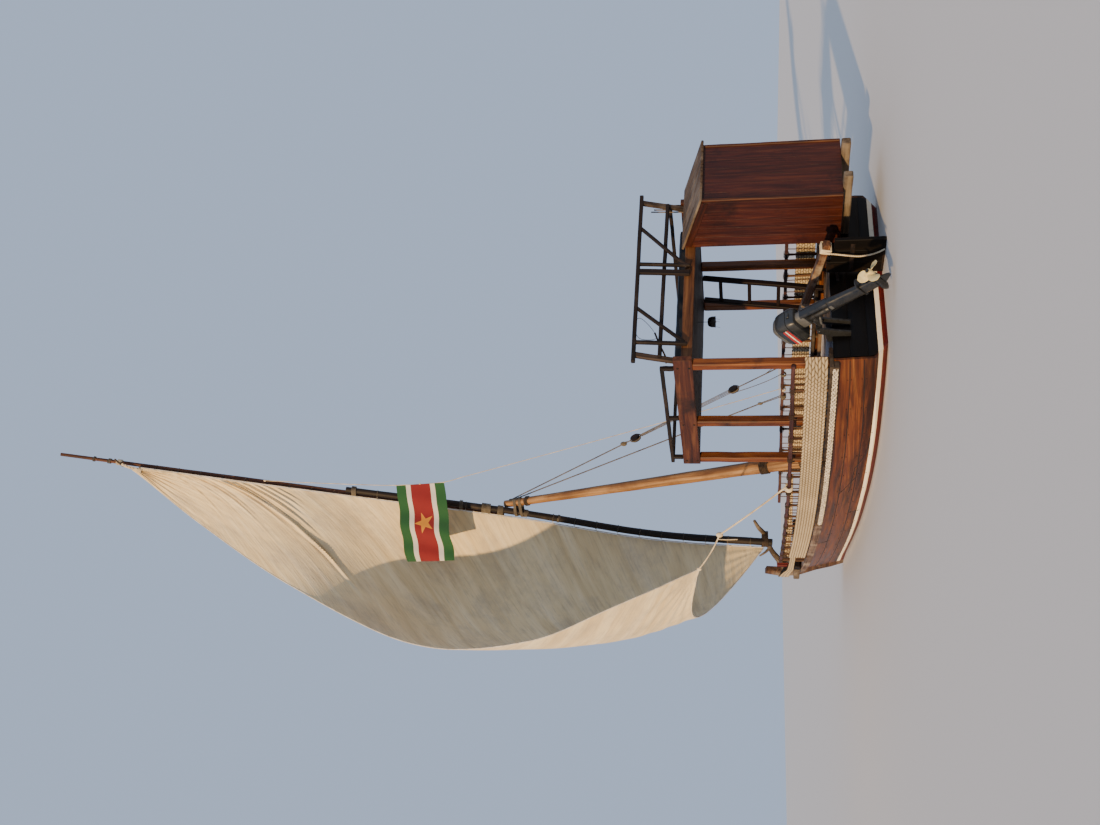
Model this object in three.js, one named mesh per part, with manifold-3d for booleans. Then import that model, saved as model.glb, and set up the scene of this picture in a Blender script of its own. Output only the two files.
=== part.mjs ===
// A small sailing dhow with a roofed stern, a closet hung over its transom and an outboard motor.
// Lengths are millimetres. Stations are measured forward (+X) from the transom, +Y is to port
// and z = 0 is the waterline. The whole boat is moved aft at the end, so that the origin lies
// on the centreline at the middle of the waterline.
import * as THREE from 'three';
import { mergeVertices } from 'three/addons/utils/BufferGeometryUtils.js';
import Module from 'manifold-3d';

const wasm = await Module();
wasm.setup();

// Driving dimensions of the hull
const MID_WATERLINE = 3150;
const GAP = 0.3;
const PLANK = 30;
const SEAM_HEIGHT = 60;
const KEEL_HALF = 40;
const KEEL_DEPTH = 100;
const TRANSOM_THICK = 35;
const HULL_STEPS = 20;
// Room between the planking and whatever is fitted inside it
const FITTING_MARGIN = 46;

// Each line of the hull: its height at the transom and at the stem, and where it ends forward
const HULL_LINES = {
  rail: { aft: 500, fore: 600, end: 6500 },
  seam: { aft: SEAM_HEIGHT, fore: SEAM_HEIGHT, end: 6190 },
  bilge: { aft: -150, fore: -150, end: 6020 },
  garboard: { aft: -330, fore: -330, end: 5860 },
  keel: { aft: -400, fore: -400, end: 5760 },
};

// Half-breadths by share of each line's length, transom 0 to stem 1. "cap" is the line that the
// rail cap, handrail and mats follow; aft it stands out from the planking's own edge, "rail"
const HALF_BREADTHS = [
  { share: 0.0, cap: 1100, rail: 1055, seam: 1035, bilge: 620, garboard: 100 },
  { share: 0.08, cap: 1170, rail: 1155, seam: 1125, bilge: 820, garboard: 260 },
  { share: 0.2, cap: 1225, rail: 1225, seam: 1210, bilge: 980, garboard: 420 },
  { share: 0.33, cap: 1195, rail: 1195, seam: 1170, bilge: 980, garboard: 460 },
  { share: 0.45, cap: 1085, rail: 1085, seam: 1040, bilge: 860, garboard: 400 },
  { share: 0.57, cap: 920, rail: 920, seam: 880, bilge: 690, garboard: 300 },
  { share: 0.7, cap: 700, rail: 700, seam: 650, bilge: 470, garboard: 180 },
  { share: 0.82, cap: 470, rail: 470, seam: 410, bilge: 260, garboard: 90 },
  { share: 0.92, cap: 245, rail: 245, seam: 200, bilge: 105, garboard: 48 },
  { share: 1.0, cap: KEEL_HALF, rail: KEEL_HALF, seam: KEEL_HALF, bilge: KEEL_HALF, garboard: KEEL_HALF },
];
// The seam rises towards the transom
const SEAM_LIFT = { rise: 60, from: 0.2 };

// Outer edge of the stem as [x, z], from the back of its head round to the forefoot
const STEM_EDGE = [
  [6585, 800], [6565, 1070], [6655, 1095], [6722, 900], [6715, 730], [6695, 630], [6630, 540],
  [6500, 375], [6385, 170], [6285, 40], [6130, -160], [5970, -370], [5870, -475],
];
const FOREFOOT = 5780;

// Rail cap with its rubbing strake; the cap is wide under the canopy's posts and narrower forward
const CAP = { thick: 35, inwardAft: 210, inwardFore: 110, narrowsFrom: 0.28, narrowsTo: 0.36 };
const STRAKE = { out: 50, drop: 50 };
// Mats stand on the rail cap outside the handrail; ends are shares of the rail's length
const MAT = { thick: 14, high: 222, out: 36, end: 0.752 };
const HANDRAIL = { z: 845, deep: 38, wide: 40, out: 11, end: 0.83 };
const SPINDLE = { first: 330, pitch: 375, count: 14, wide: 30, lift: 2 };
// Port half of the bow mat's plan as [x, y]; its heights are at its ends, and it rises to the stem
const BOW_MAT = {
  bottom: 708, top: 785, rise: 50, risesFrom: 5930,
  turn: [[4920, 640], [5250, 535], [5600, 430], [5930, 330], [6200, 235], [6450, 150], [6640, 90], [6738, 50], [6752, 0]],
};

// Inside of the hull
const SOLE = { from: 36, to: 5450, bottom: 50, top: 80 };
const AFT_DECK = { from: 36, to: 1880, bottom: 400, top: 440 };
const FOREDECK = { from: 4850, to: 6330, bottom: 450, top: 480 };
const BULKHEAD_THICK = 25;
const THWART = { from: 3300, to: 3600, bottom: 400, top: 445, mastRoom: 15 };
const BENCH = { from: 1960, to: 4780, bottom: 325, top: 350, wide: 360, leg: 50, legs: [2000, 3370, 4690] };
const BENCH_CUSHION = { high: 75, inset: 20, aft: [1990, 3260], fore: [3640, 4740] };
const DECK_CUSHION = { from: 250, to: 1700, inner: 530, outer: 900, high: 90 };
const BOW_CROSSBEAM = { from: 5740, to: 6130, half: 373, bottom: 621, top: 705 };

// Canopy over the stern
const POST = { stations: [50, 1030, 1730], half: 43, y: 1042 };
const SIDE_BEAM = { inner: 1030, outer: 1090, bottom: 1800, top: 1980, fore: 1800, portOverhang: 70 };
const TENON = 5;
const CROSS_BEAM = { wide: 55, top: 1910 };
const ROOF_TOP = 1845;
const ROOF_RAIL = { z: 2095, deep: 38, wide: 40, stub: 20, stubs: [90, 950, 1700] };
const ROOF_MATTRESS = { from: 200, to: 1600, half: 860, high: 155 };
const LADDER = {
  stiles: [1120, 1500], foot: [-760, 475], head: [-950, 1790], wide: 40, deep: 62,
  rungs: [640, 955, 1275, 1595], rungThick: 28, rungHigh: 40,
};
// The shade's outline is [share of the radius, share of the height]
const LAMP = {
  x: 720, z: 1620, radius: 60, high: 85, wire: 4,
  shade: [[0, 0.88], [0.7, 0.62], [0.92, 0], [1, 0], [0.78, 0.7], [0.4, 0.95], [0, 1]],
};
// The seat back leans aft. Its uprights, as [y, width], and braces, as [y at foot, y at head], stand
// against the aft beam; its end posts stand forward of the beam and meet the top bar
const SEAT_BACK = {
  foot: 1850, top: 2370, topRise: 15, middle: 2110, middleX: -15, half: 1090, thick: 42, lean: 0.08,
  ends: { y: 995, wide: 60, footX: 90 },
  uprights: [[850, 34], [-40, 60], [-140, 30]],
  braces: [[830, 420], [-120, -640]], braceWide: 34, braceFoot: 30,
};

// Closet over the starboard quarter
const CLOSET = {
  aft: -660, fore: -10, port: -390, starboard: -1170, bottom: 380, roofAft: 1720, roofFore: 1920, wall: 25,
  floorThick: 30, beams: [-550, -1000], beamWide: 90, beamDeep: 90, beamEnd: -790,
};
const CLOSET_DOOR = { inner: -465, outer: -925, bottom: 560, top: 1735, thick: 20, clear: 6, setBack: 2 };
const CLOSET_ROOF = { aft: -705, fore: -8, port: -365, starboard: -1200, thick: 26 };

// Mast, yard and sail
const MAST = {
  footX: 3370, footZ: 140, headX: 4700, headZ: 4660, footRadius: 95, headRadius: 50,
  stepLong: 280, stepWide: 260,
};
const YARD_Y = 112;
const YARD_POINTS = [[5565, 1000], [5365, 2600], [4765, 4500], [4050, 7300], [3165, 10650]];
// The yard is two poles that overlap; "offset" sets each aft or forward of the yard's line
const YARD_POLES = [
  { name: 'yard_lower', from: 0, to: 0.6, offset: -48, foot: 52, head: 40 },
  { name: 'yard_upper', from: 0.38, to: 1, offset: 48, foot: 44, head: 22 },
];
const SAIL_OUT = 75;
const SAIL_THICK = 8;
// Each row of the sail: share of the yard at the luff, place of the leech, belly, rise of the middle
const SAIL_ROWS = [
  { luff: 0.012, x: 3430, y: 1550, z: 1880, belly: 760, rise: 430 },
  { luff: 0.16, x: 3240, y: 2130, z: 2800, belly: 850, rise: 120 },
  { luff: 0.3, x: 3600, y: 2460, z: 3900, belly: 800, rise: 60 },
  { luff: 0.465, x: 4210, y: 2290, z: 5490, belly: 750, rise: 30 },
  { luff: 0.63, x: 4260, y: 1510, z: 7330, belly: 50, rise: 0 },
  { luff: 0.775, x: 4130, y: 660, z: 8840, belly: 50, rise: 0 },
  { luff: 0.885, x: 3460, y: 200, z: 9660, belly: 30, rise: 0 },
];

// Stays run from a height on the mast to a point just over the starboard handrail
const STAY_RADIUS = 9;
const STAY_CLEAR = 6;
const STAYS = [
  { name: 'main_stay', head: 4500, foot: [3510, -976, 905] },
  { name: 'back_stay', head: 4560, foot: [3000, -1078, 905] },
];
// The hoist is given as the [x, z] of its head and foot
const FLAG = {
  y: 120, hoist: [[3985, 6030], [3890, 5330]], clear: 9, fly: 950, drop: 135, thick: 6,
  wave: 40, downwind: [0.56, 0.83],
};
const HALYARD = {
  radius: 5,
  points: [[3885, 120, 7900], [3950, 120, 7000], [3985, 120, 6030], [3890, 120, 5330], [3760, 120, 5050]],
};

// Rudder, its gudgeons and tiller
const GUDGEONS = [{ bottom: 400, top: 440 }, { bottom: -300, top: -260 }];
const GUDGEON = { aft: -40, half: 25, room: 8 };
const RUDDER = {
  fore: -30, notch: -65, half: 22.5, bottom: -485, headAft: -492,
  edge: [[-420, -485], [-480, -380], [-502, 60]],
};
const TILLER = { aftX: -440, aftZ: 535, foreX: 750, foreZ: 775, wide: 85, deep: 70 };
const TILLER_ROPE = {
  radius: 9,
  points: [[-370, 47, 549], [-370, 59, 548], [-368, 71, 520], [-358, 74, 450], [-334, 74, 330],
    [-322, 74, 240], [-334, 74, 160], [-366, 74, 80], [-412, 74, 14]],
};

// Outboard motor, drawn upright round its tilt pivot and then tipped up by "tilt" degrees
const MOTOR = { x: -75, y: 700, z: 620, tilt: 40, steerX: -150, shaftZ: -776 };
const CLAMP = {
  cheeks: [-75, 55], cheekThick: 20, pinHalf: 74, pinRadius: 14,
  outline: [[-GAP, 330], [-60, 330], [-110, 600], [-100, 638], [-45, 640], [-20, 560], [80, 540], [80, 455]],
  hookBottom: 455, jaw: { fore: 78, half: 60, bottom: 460, top: 495 },
};
const SWIVEL = {
  hub: 32, hubHalf: 48, pinBore: 15.5, tube: 34, tubeBottom: -230, tubeTop: -6, shaftBore: 20,
  arm: { aft: -125, fore: -10, half: 40, bottom: -62, top: -8 },
};
// The casing runs down behind the swivel tube and widens under it. Each section is its height, its
// ends before and behind the steering axis, and half its width
const LEG = {
  shaft: 18, neckFore: 60, neckAft: 112, neckHalf: 55, neckBottom: 0, corners: [20, 24],
  housing: [[40, -43, -115, 52], [-260, -43, -105, 46]],
  sections: [[-237, 50, -105, 46], [-560, 42, -80, 34], [MOTOR.shaftZ, 45, -68, 22]],
  noseX: -25, bullet: 226, bulletRadius: 37, plateZ: -610, plateThick: 8,
  plate: [[-80, 0], [-110, 36], [-270, 50], [-290, 0], [-270, -50], [-110, -36]],
  skeg: [[-95, -790], [-215, -790], [-195, -900], [-160, -900]],
};
const COWL = {
  bottom: 80, half: 112, bevel: 28, middle: [-145, 210],
  outline: [[-285, 80], [-30, 80], [10, 115], [22, 220], [0, 325], [-70, 345], [-265, 330], [-308, 260],
    [-308, 110]],
};
const PROPELLER = { radius: 132, hub: 32, from: -258, to: -335, blades: 3, pitch: 230, chord: 105, thick: 7 };

// Plain finishes
const finish = (color, roughness = 0.7, metalness = 0) => {
  return new THREE.MeshStandardMaterial({ color, roughness, metalness });
};
const PLANKS = finish(0xa8612f);
const DARK_WOOD = finish(0x3b2418);
const DECK_WOOD = finish(0x7a6250);
const POST_WOOD = finish(0x9a5230);
const CLOSET_WOOD = finish(0x6d2c1a, 0.55);
const SPAR_WOOD = finish(0x4a3428);
const MAT_STRAW = finish(0xa89674, 0.9);
const CANVAS = finish(0xd9d2bd, 0.9);
const ROPE = finish(0xcfc4a4, 0.9);
const CUSHION_CLOTH = finish(0x9c9aa0, 0.9);
const FLAG_CLOTH = finish(0xc02a2a, 0.8);
const BLACK_PAINT = finish(0x24262a, 0.4, 0.3);
const CAST_ALLOY = finish(0x6a6d72, 0.45, 0.8);
const PALE_ENAMEL = finish(0xe0d9a8, 0.4, 0.1);

const boat = new THREE.Group();
boat.position.x = -MID_WATERLINE;

const at = (x, y, z) => new THREE.Vector3(x, y, z);
const X_AXIS = at(1, 0, 0);
const Y_AXIS = at(0, 1, 0);
const Z_AXIS = at(0, 0, 1);
const SIDES = [['port', 1], ['starboard', -1]];

function place(name, geometry, material, parent = boat) {
  const mesh = new THREE.Mesh(geometry, material);
  mesh.name = name;
  parent.add(mesh);
}

const steps = (count, from = 0, to = 1) => {
  return Array.from({ length: count + 1 }, (_, i) => from + (to - from) * i / count);
};
const mirrored = (point, side) => at(point.x, point.y * side, point.z);

// Booleans
function toSolid(geometry) {
  const bare = geometry.clone();
  bare.deleteAttribute('normal');
  bare.deleteAttribute('uv');
  const merged = mergeVertices(bare, 1e-3);
  return new wasm.Manifold(new wasm.Mesh({
    numProp: 3,
    vertProperties: new Float32Array(merged.attributes.position.array),
    triVerts: new Uint32Array(merged.index.array),
  }));
}

function fromSolid(solid) {
  const { vertProperties, triVerts } = solid.getMesh();
  const geometry = new THREE.BufferGeometry();
  geometry.setAttribute('position', new THREE.BufferAttribute(new Float32Array(vertProperties), 3));
  geometry.setIndex(new THREE.BufferAttribute(new Uint32Array(triVerts), 1));
  return geometry;
}

function join(...pieces) {
  return fromSolid(pieces.map(toSolid).reduce((all, piece) => all.add(piece)));
}

function cut(piece, ...tools) {
  return fromSolid(tools.map(toSolid).reduce((all, tool) => all.subtract(tool), toSolid(piece)));
}

// Plain shapes
function block(x0, x1, y0, y1, z0, z1) {
  const geometry = new THREE.BoxGeometry(x1 - x0, y1 - y0, z1 - z0);
  return geometry.translate((x0 + x1) / 2, (y0 + y1) / 2, (z0 + z1) / 2);
}

// A squared timber between two points; "deep" is measured upwards, or fore and aft on an upright one
function timber(from, to, wide, deep) {
  const run = to.clone().sub(from);
  const along = run.clone().normalize();
  const upright = Math.abs(along.z) > 0.99;
  const across = upright ? Y_AXIS.clone() : Z_AXIS.clone().cross(along).normalize();
  const up = along.clone().cross(across);
  const middle = from.clone().add(to).multiplyScalar(0.5);
  return new THREE.BoxGeometry(run.length(), wide, deep)
    .applyMatrix4(new THREE.Matrix4().makeBasis(along, across, up))
    .translate(middle.x, middle.y, middle.z);
}

function rod(from, to, radiusFrom, radiusTo = radiusFrom, sides = 16) {
  const run = to.clone().sub(from);
  const turn = new THREE.Quaternion().setFromUnitVectors(Y_AXIS, run.clone().normalize());
  const middle = from.clone().add(to).multiplyScalar(0.5);
  return new THREE.CylinderGeometry(radiusTo, radiusFrom, run.length(), sides)
    .applyQuaternion(turn)
    .translate(middle.x, middle.y, middle.z);
}

// A round pole whose centre follows path(t) and whose radius follows radius(t), t from 0 to 1
function pole(path, radius, sides, rings) {
  const geometry = new THREE.CylinderGeometry(1, 1, 1, sides, rings);
  const position = geometry.attributes.position;
  const reach = 0.01;
  for (let i = 0; i < position.count; i += 1) {
    const t = position.getY(i) + 0.5;
    const along = path(Math.min(t + reach, 1)).sub(path(Math.max(t - reach, 0))).normalize();
    const side = along.clone().cross(Y_AXIS).normalize();
    const up = side.clone().cross(along);
    const point = path(t).addScaledVector(side, position.getX(i) * radius(t));
    point.addScaledVector(up, position.getZ(i) * radius(t));
    position.setXYZ(i, point.x, point.y, point.z);
  }
  return geometry;
}

// A solid turned round a vertical axis from a profile of [radius, height]
function turned(profile, sides) {
  const geometry = new THREE.LatheGeometry(profile.map(([r, z]) => new THREE.Vector2(r, z)), sides);
  return geometry.rotateX(Math.PI / 2);
}

// Plates cut to an outline in the XY, YZ or XZ plane
function plate(outline, basis, depth) {
  const shape = new THREE.Shape(outline.map(([u, v]) => new THREE.Vector2(u, v)));
  const geometry = new THREE.ExtrudeGeometry(shape, { depth, bevelEnabled: false });
  return geometry.applyMatrix4(new THREE.Matrix4().makeBasis(...basis));
}

function plateXY(outline, z0, z1) {
  return plate(outline, [X_AXIS, Y_AXIS, Z_AXIS], z1 - z0).translate(0, 0, z0);
}

function plateYZ(outline, x0, x1) {
  return plate(outline, [Y_AXIS, Z_AXIS, X_AXIS], x1 - x0).translate(x0, 0, 0);
}

function plateXZ(outline, y0, y1) {
  return plate(outline, [X_AXIS, Z_AXIS, Y_AXIS.clone().negate()], y1 - y0).translate(0, y1, 0);
}

// A closed surface from points and triangles, turned so that its faces look outwards
function closedSurface(points, index) {
  let volume = 0;
  for (let i = 0; i < index.length; i += 3) {
    const [a, b, c] = [points[index[i]], points[index[i + 1]], points[index[i + 2]]];
    volume += a.dot(b.clone().cross(c));
  }
  const geometry = new THREE.BufferGeometry().setFromPoints(points);
  return geometry.setIndex(volume > 0 ? index : index.reverse());
}

// A closed skin between two grids of points of the same size
function slab(face, back) {
  const rows = face.length;
  const columns = face[0].length;
  const front = (r, c) => r * columns + c;
  const rear = (r, c) => (rows + r) * columns + c;
  const index = [];
  const quad = (a, b, c, d) => index.push(a, b, c, a, c, d);
  for (let r = 0; r < rows - 1; r += 1) {
    for (let c = 0; c < columns - 1; c += 1) {
      quad(front(r, c), front(r, c + 1), front(r + 1, c + 1), front(r + 1, c));
      quad(rear(r, c), rear(r + 1, c), rear(r + 1, c + 1), rear(r, c + 1));
    }
    quad(front(r, 0), front(r + 1, 0), rear(r + 1, 0), rear(r, 0));
    quad(rear(r, columns - 1), rear(r + 1, columns - 1), front(r + 1, columns - 1), front(r, columns - 1));
  }
  for (let c = 0; c < columns - 1; c += 1) {
    quad(rear(0, c), rear(0, c + 1), front(0, c + 1), front(0, c));
    quad(front(rows - 1, c), front(rows - 1, c + 1), rear(rows - 1, c + 1), rear(rows - 1, c));
  }
  return closedSurface([...face.flat(), ...back.flat()], index);
}

// A column through rings of points, closed at both ends
function column(rings) {
  const count = rings[0].length;
  const index = [];
  for (let r = 0; r < rings.length - 1; r += 1) {
    for (let c = 0; c < count; c += 1) {
      const [a, b] = [r * count + c, r * count + (c + 1) % count];
      index.push(a, b, b + count, a, b + count, a + count);
    }
  }
  const last = (rings.length - 1) * count;
  for (let c = 1; c < count - 1; c += 1) {
    index.push(0, c + 1, c);
    index.push(last, last + c, last + c + 1);
  }
  return closedSurface(rings.flat(), index);
}

// A smooth curve through one column of a table, read against another
function fair(rows, key, name, value) {
  const last = rows.length - 1;
  let i = 0;
  while (i < last - 1 && rows[i + 1][key] < value) i += 1;
  const slope = (k) => {
    const before = rows[Math.max(k - 1, 0)];
    const after = rows[Math.min(k + 1, last)];
    return (after[name] - before[name]) / (after[key] - before[key]);
  };
  const width = rows[i + 1][key] - rows[i][key];
  const t = (value - rows[i][key]) / width;
  const rise = rows[i + 1][name] - rows[i][name];
  const bend = (slope(i) * width - rise) * (1 - t) - (slope(i + 1) * width - rise) * t;
  return rows[i][name] + rise * t + t * (1 - t) * bend;
}

// Hull form
function hullPoint(line, share) {
  const { aft, fore, end } = HULL_LINES[line];
  const half = line === 'keel' ? KEEL_HALF : fair(HALF_BREADTHS, 'share', line, share);
  const lift = line === 'seam' ? SEAM_LIFT.rise * Math.max(0, 1 - share / SEAM_LIFT.from) ** 2 : 0;
  return at(share * end, half, aft + (fore - aft) * share ** 3 + lift);
}

function bottomSection(share) {
  const port = ['seam', 'bilge', 'garboard', 'keel'].map((line) => hullPoint(line, share));
  return [...port, ...port.map((point) => mirrored(point, -1)).reverse()];
}

// A section's points moved in by a thickness, square to the section; its two ends move level
function movedIn(section, thickness) {
  return section.map((point, i) => {
    if (i === 0 || i === section.length - 1) {
      return at(point.x, point.y - Math.sign(point.y) * thickness, point.z);
    }
    const normal = (a, b) => new THREE.Vector2(b.z - a.z, a.y - b.y).normalize();
    const first = normal(section[i - 1], point);
    const middle = first.clone().add(normal(point, section[i + 1])).normalize();
    middle.multiplyScalar(thickness / middle.dot(first));
    return at(point.x, point.y + middle.x, point.z + middle.y);
  });
}

// Half-breadth inside the planking at a station and height, less the fitting margin
function insideAt(x, z) {
  const points = Object.entries(HULL_LINES).map(([line, { end }]) => hullPoint(line, Math.min(x / end, 1)));
  let i = 0;
  while (i < points.length - 2 && points[i + 1].z > z) i += 1;
  const [upper, lower] = [points[i], points[i + 1]];
  const share = (z - lower.z) / (upper.z - lower.z);
  return lower.y + (upper.y - lower.y) * share - FITTING_MARGIN;
}

function bottomPlanking() {
  const sections = steps(HULL_STEPS).map(bottomSection);
  return slab(sections, sections.map((section) => movedIn(section, PLANK)));
}

function topside(side) {
  const skin = (inward) => steps(HULL_STEPS).map((share) => {
    const rail = hullPoint('rail', share);
    const seam = hullPoint('seam', share).add(at(0, 0, GAP));
    return [rail, seam].map(({ x, y, z }) => mirrored(at(x, y - inward, z), side));
  });
  return slab(skin(0), skin(PLANK));
}

function transom() {
  const rail = hullPoint('rail', 0);
  const port = movedIn([rail, ...bottomSection(0).slice(0, 5)], PLANK + GAP).slice(0, 5);
  const outline = [...port, ...port.map((point) => mirrored(point, -1)).reverse()];
  const board = plateYZ(outline.map(({ y, z }) => [y, z]), 0, TRANSOM_THICK);
  const { aft, half } = GUDGEON;
  const gudgeons = GUDGEONS.map(({ bottom, top }) => block(aft, TRANSOM_THICK / 2, -half, half, bottom, top));
  return join(board, ...gudgeons);
}

function keelAndStem() {
  const hullEnd = Object.values(HULL_LINES).reverse().map(({ fore, end }) => [end + GAP, fore]);
  const keelTop = HULL_LINES.keel.aft - GAP;
  const keelBottom = HULL_LINES.keel.aft - KEEL_DEPTH;
  const outline = [
    [0, keelBottom], [0, keelTop], [HULL_LINES.keel.end, keelTop], ...hullEnd, ...STEM_EDGE,
    [FOREFOOT, keelBottom],
  ];
  return plateXZ(outline, -KEEL_HALF, KEEL_HALF);
}

place('bottom_planking', bottomPlanking(), PLANKS);
place('transom', transom(), DARK_WOOD);
place('keel_and_stem', keelAndStem(), DARK_WOOD);
for (const [name, side] of SIDES) place(`${name}_topside`, topside(side), PLANKS);

// Rails, mats and handrails follow the hull's rail line
function railAt(share, out, up) {
  const rail = hullPoint('rail', share);
  const half = Math.max(fair(HALF_BREADTHS, 'share', 'cap', share) + out, KEEL_HALF / 2);
  return at(rail.x, half, rail.z + up);
}

// How far out of the cap's line the planking's face is
function planking(share) {
  return hullPoint('rail', share).y - railAt(share, 0, 0).y + GAP;
}

function capInward(share) {
  const { inwardAft, inwardFore, narrowsFrom, narrowsTo } = CAP;
  const done = THREE.MathUtils.clamp((share - narrowsFrom) / (narrowsTo - narrowsFrom), 0, 1);
  return -(inwardAft + (inwardFore - inwardAft) * done);
}

function handrailRise(share) {
  const { aft } = HULL_LINES.rail;
  return HANDRAIL.z - aft - (hullPoint('rail', share).z - aft) / 2;
}

// A length of board along the rail, from columns of [out, up] on its two faces; each value is
// a length, or a function of the share of the rail's length
function alongRail(side, to, face, back) {
  const value = (measure, share) => (typeof measure === 'function' ? measure(share) : measure);
  const grid = (columns) => steps(HULL_STEPS, 0, to).map((share) => columns.map(([out, up]) => {
    return mirrored(railAt(share, value(out, share), value(up, share)), side);
  }));
  return slab(grid(face), grid(back));
}

function railCap(side) {
  const face = [[capInward, GAP], [planking, GAP], [planking, -STRAKE.drop]];
  const back = [[capInward, CAP.thick], [STRAKE.out, CAP.thick], [STRAKE.out, -STRAKE.drop]];
  return alongRail(side, 1, face, back);
}

function sideMat(side) {
  const bottom = CAP.thick + GAP;
  const edge = (out) => [[out, bottom], [out, bottom + MAT.high]];
  return alongRail(side, MAT.end, edge(MAT.out), edge(MAT.out + MAT.thick));
}

function handrail(side) {
  const { out, deep, wide, end } = HANDRAIL;
  const railTop = (share) => handrailRise(share) + deep;
  const edge = (offset) => [[out + offset, handrailRise], [out + offset, railTop]];
  const rail = alongRail(side, end, edge(-wide / 2), edge(wide / 2));
  const spindles = steps(SPINDLE.count - 1, 0, SPINDLE.count - 1).map((i) => {
    const share = (SPINDLE.first + i * SPINDLE.pitch) / HULL_LINES.rail.end;
    const foot = mirrored(railAt(share, out, CAP.thick + SPINDLE.lift), side);
    const head = mirrored(railAt(share, out, handrailRise(share) + deep / 2), side);
    return timber(foot, head, SPINDLE.wide, SPINDLE.wide);
  });
  return join(rail, ...spindles);
}

// The mat round the bow stands on the crossbeam and goes round the stem
function bowMat() {
  const { turn, bottom, top, rise, risesFrom } = BOW_MAT;
  const route = [...turn, ...turn.slice(0, -1).map(([x, y]) => [x, -y]).reverse()];
  const length = turn.at(-1)[0] - risesFrom;
  const skin = (thickness) => route.map(([x, y], i) => {
    const [before, after] = [route[Math.max(i - 1, 0)], route[Math.min(i + 1, route.length - 1)]];
    const outward = at(before[1] - after[1], after[0] - before[0], 0).normalize();
    const point = at(x, y, 0).addScaledVector(outward, thickness);
    const lift = rise * Math.max(0, x - risesFrom) / length;
    return [bottom, top].map((z) => at(point.x, point.y, z + lift));
  });
  return slab(skin(0), skin(MAT.thick));
}

for (const [name, side] of SIDES) {
  place(`${name}_rail`, railCap(side), DECK_WOOD);
  place(`${name}_handrail`, handrail(side), POST_WOOD);
  place(`${name}_mat`, sideMat(side), MAT_STRAW);
}
place('bow_mat', bowMat(), MAT_STRAW);

// Decks and seats
function deck({ from, to, bottom, top }) {
  const row = (x, z) => [at(x, insideAt(x, bottom), z), at(x, -insideAt(x, bottom), z)];
  const stations = steps(10, from, to);
  return slab(stations.map((x) => row(x, bottom)), stations.map((x) => row(x, top)));
}

// A bulkhead across the hull between the sole and a deck
function bulkhead(x, top) {
  const heights = [SOLE.top + GAP, (SOLE.top + top) / 2, top];
  const port = heights.map((z) => [insideAt(x + BULKHEAD_THICK, z), z]);
  const starboard = port.map(([y, z]) => [-y, z]).reverse();
  return plateYZ([...port, ...starboard], x, x + BULKHEAD_THICK);
}

function mastAt(z) {
  const share = (z - MAST.footZ) / (MAST.headZ - MAST.footZ);
  return at(MAST.footX + (MAST.headX - MAST.footX) * share, 0, z);
}

function sole() {
  const [long, wide] = [MAST.stepLong / 2, MAST.stepWide / 2];
  const step = block(MAST.footX - long, MAST.footX + long, -wide, wide, SOLE.top - TENON, MAST.footZ);
  return join(deck(SOLE), step);
}

function mastThwart() {
  const radius = MAST.footRadius + THWART.mastRoom;
  return cut(deck(THWART), rod(mastAt(THWART.bottom - 100), mastAt(THWART.top + 100), radius, radius, 20));
}

// A strip along the inside of the planking, between two distances from it
function alongBench(side, stations, near, far, bottom, top) {
  const row = (x, z) => [near, far].map((distance) => {
    return mirrored(at(x, insideAt(x, BENCH.bottom) - distance, z), side);
  });
  return slab(stations.map((x) => row(x, bottom)), stations.map((x) => row(x, top)));
}

function bench(side) {
  const seat = alongBench(side, steps(10, BENCH.from, BENCH.to), 0, BENCH.wide, BENCH.bottom, BENCH.top);
  const legs = BENCH.legs.map((x) => {
    const y = side * (insideAt(x + BENCH.leg, BENCH.bottom) - BENCH.wide + BENCH.leg);
    const half = BENCH.leg / 2;
    return block(x, x + BENCH.leg, y - half, y + half, SOLE.top + GAP, BENCH.bottom + TENON);
  });
  return join(seat, ...legs);
}

function benchCushion(side, [from, to]) {
  const { inset, high } = BENCH_CUSHION;
  const bottom = BENCH.top + GAP;
  return alongBench(side, steps(6, from, to), inset, BENCH.wide - inset, bottom, bottom + high);
}

place('sole', sole(), DECK_WOOD);
const aftBulkhead = bulkhead(AFT_DECK.to - BULKHEAD_THICK, AFT_DECK.top - TENON);
place('aft_deck', join(deck(AFT_DECK), aftBulkhead), DECK_WOOD);
place('foredeck', join(deck(FOREDECK), bulkhead(FOREDECK.from, FOREDECK.top - TENON)), DECK_WOOD);
place('mast_thwart', mastThwart(), DARK_WOOD);
for (const [name, side] of SIDES) {
  place(`${name}_bench`, bench(side), DECK_WOOD);
  place(`${name}_cushion_aft`, benchCushion(side, BENCH_CUSHION.aft), CUSHION_CLOTH);
  place(`${name}_cushion_fore`, benchCushion(side, BENCH_CUSHION.fore), CUSHION_CLOTH);
}
place('deck_cushion', block(DECK_CUSHION.from, DECK_CUSHION.to, DECK_CUSHION.inner, DECK_CUSHION.outer,
  AFT_DECK.top + GAP, AFT_DECK.top + DECK_CUSHION.high), CUSHION_CLOTH);
place('bow_crossbeam', block(BOW_CROSSBEAM.from, BOW_CROSSBEAM.to, -BOW_CROSSBEAM.half, BOW_CROSSBEAM.half,
  BOW_CROSSBEAM.bottom, BOW_CROSSBEAM.top), DARK_WOOD);

// Canopy
function canopySide(side) {
  const { inner, outer, bottom, top, fore, portOverhang } = SIDE_BEAM;
  const aft = side > 0 ? -portOverhang : 0;
  const low = Math.min(side * inner, side * outer);
  const beam = block(aft, fore, low, low + outer - inner, bottom, top);
  const posts = POST.stations.map((x) => {
    const foot = railAt((x + POST.half) / HULL_LINES.rail.end, 0, CAP.thick + GAP).z;
    const [near, far] = [side * POST.y - POST.half, side * POST.y + POST.half];
    return block(x - POST.half, x + POST.half, near, far, foot, bottom + TENON);
  });
  return join(beam, ...posts);
}

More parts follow.
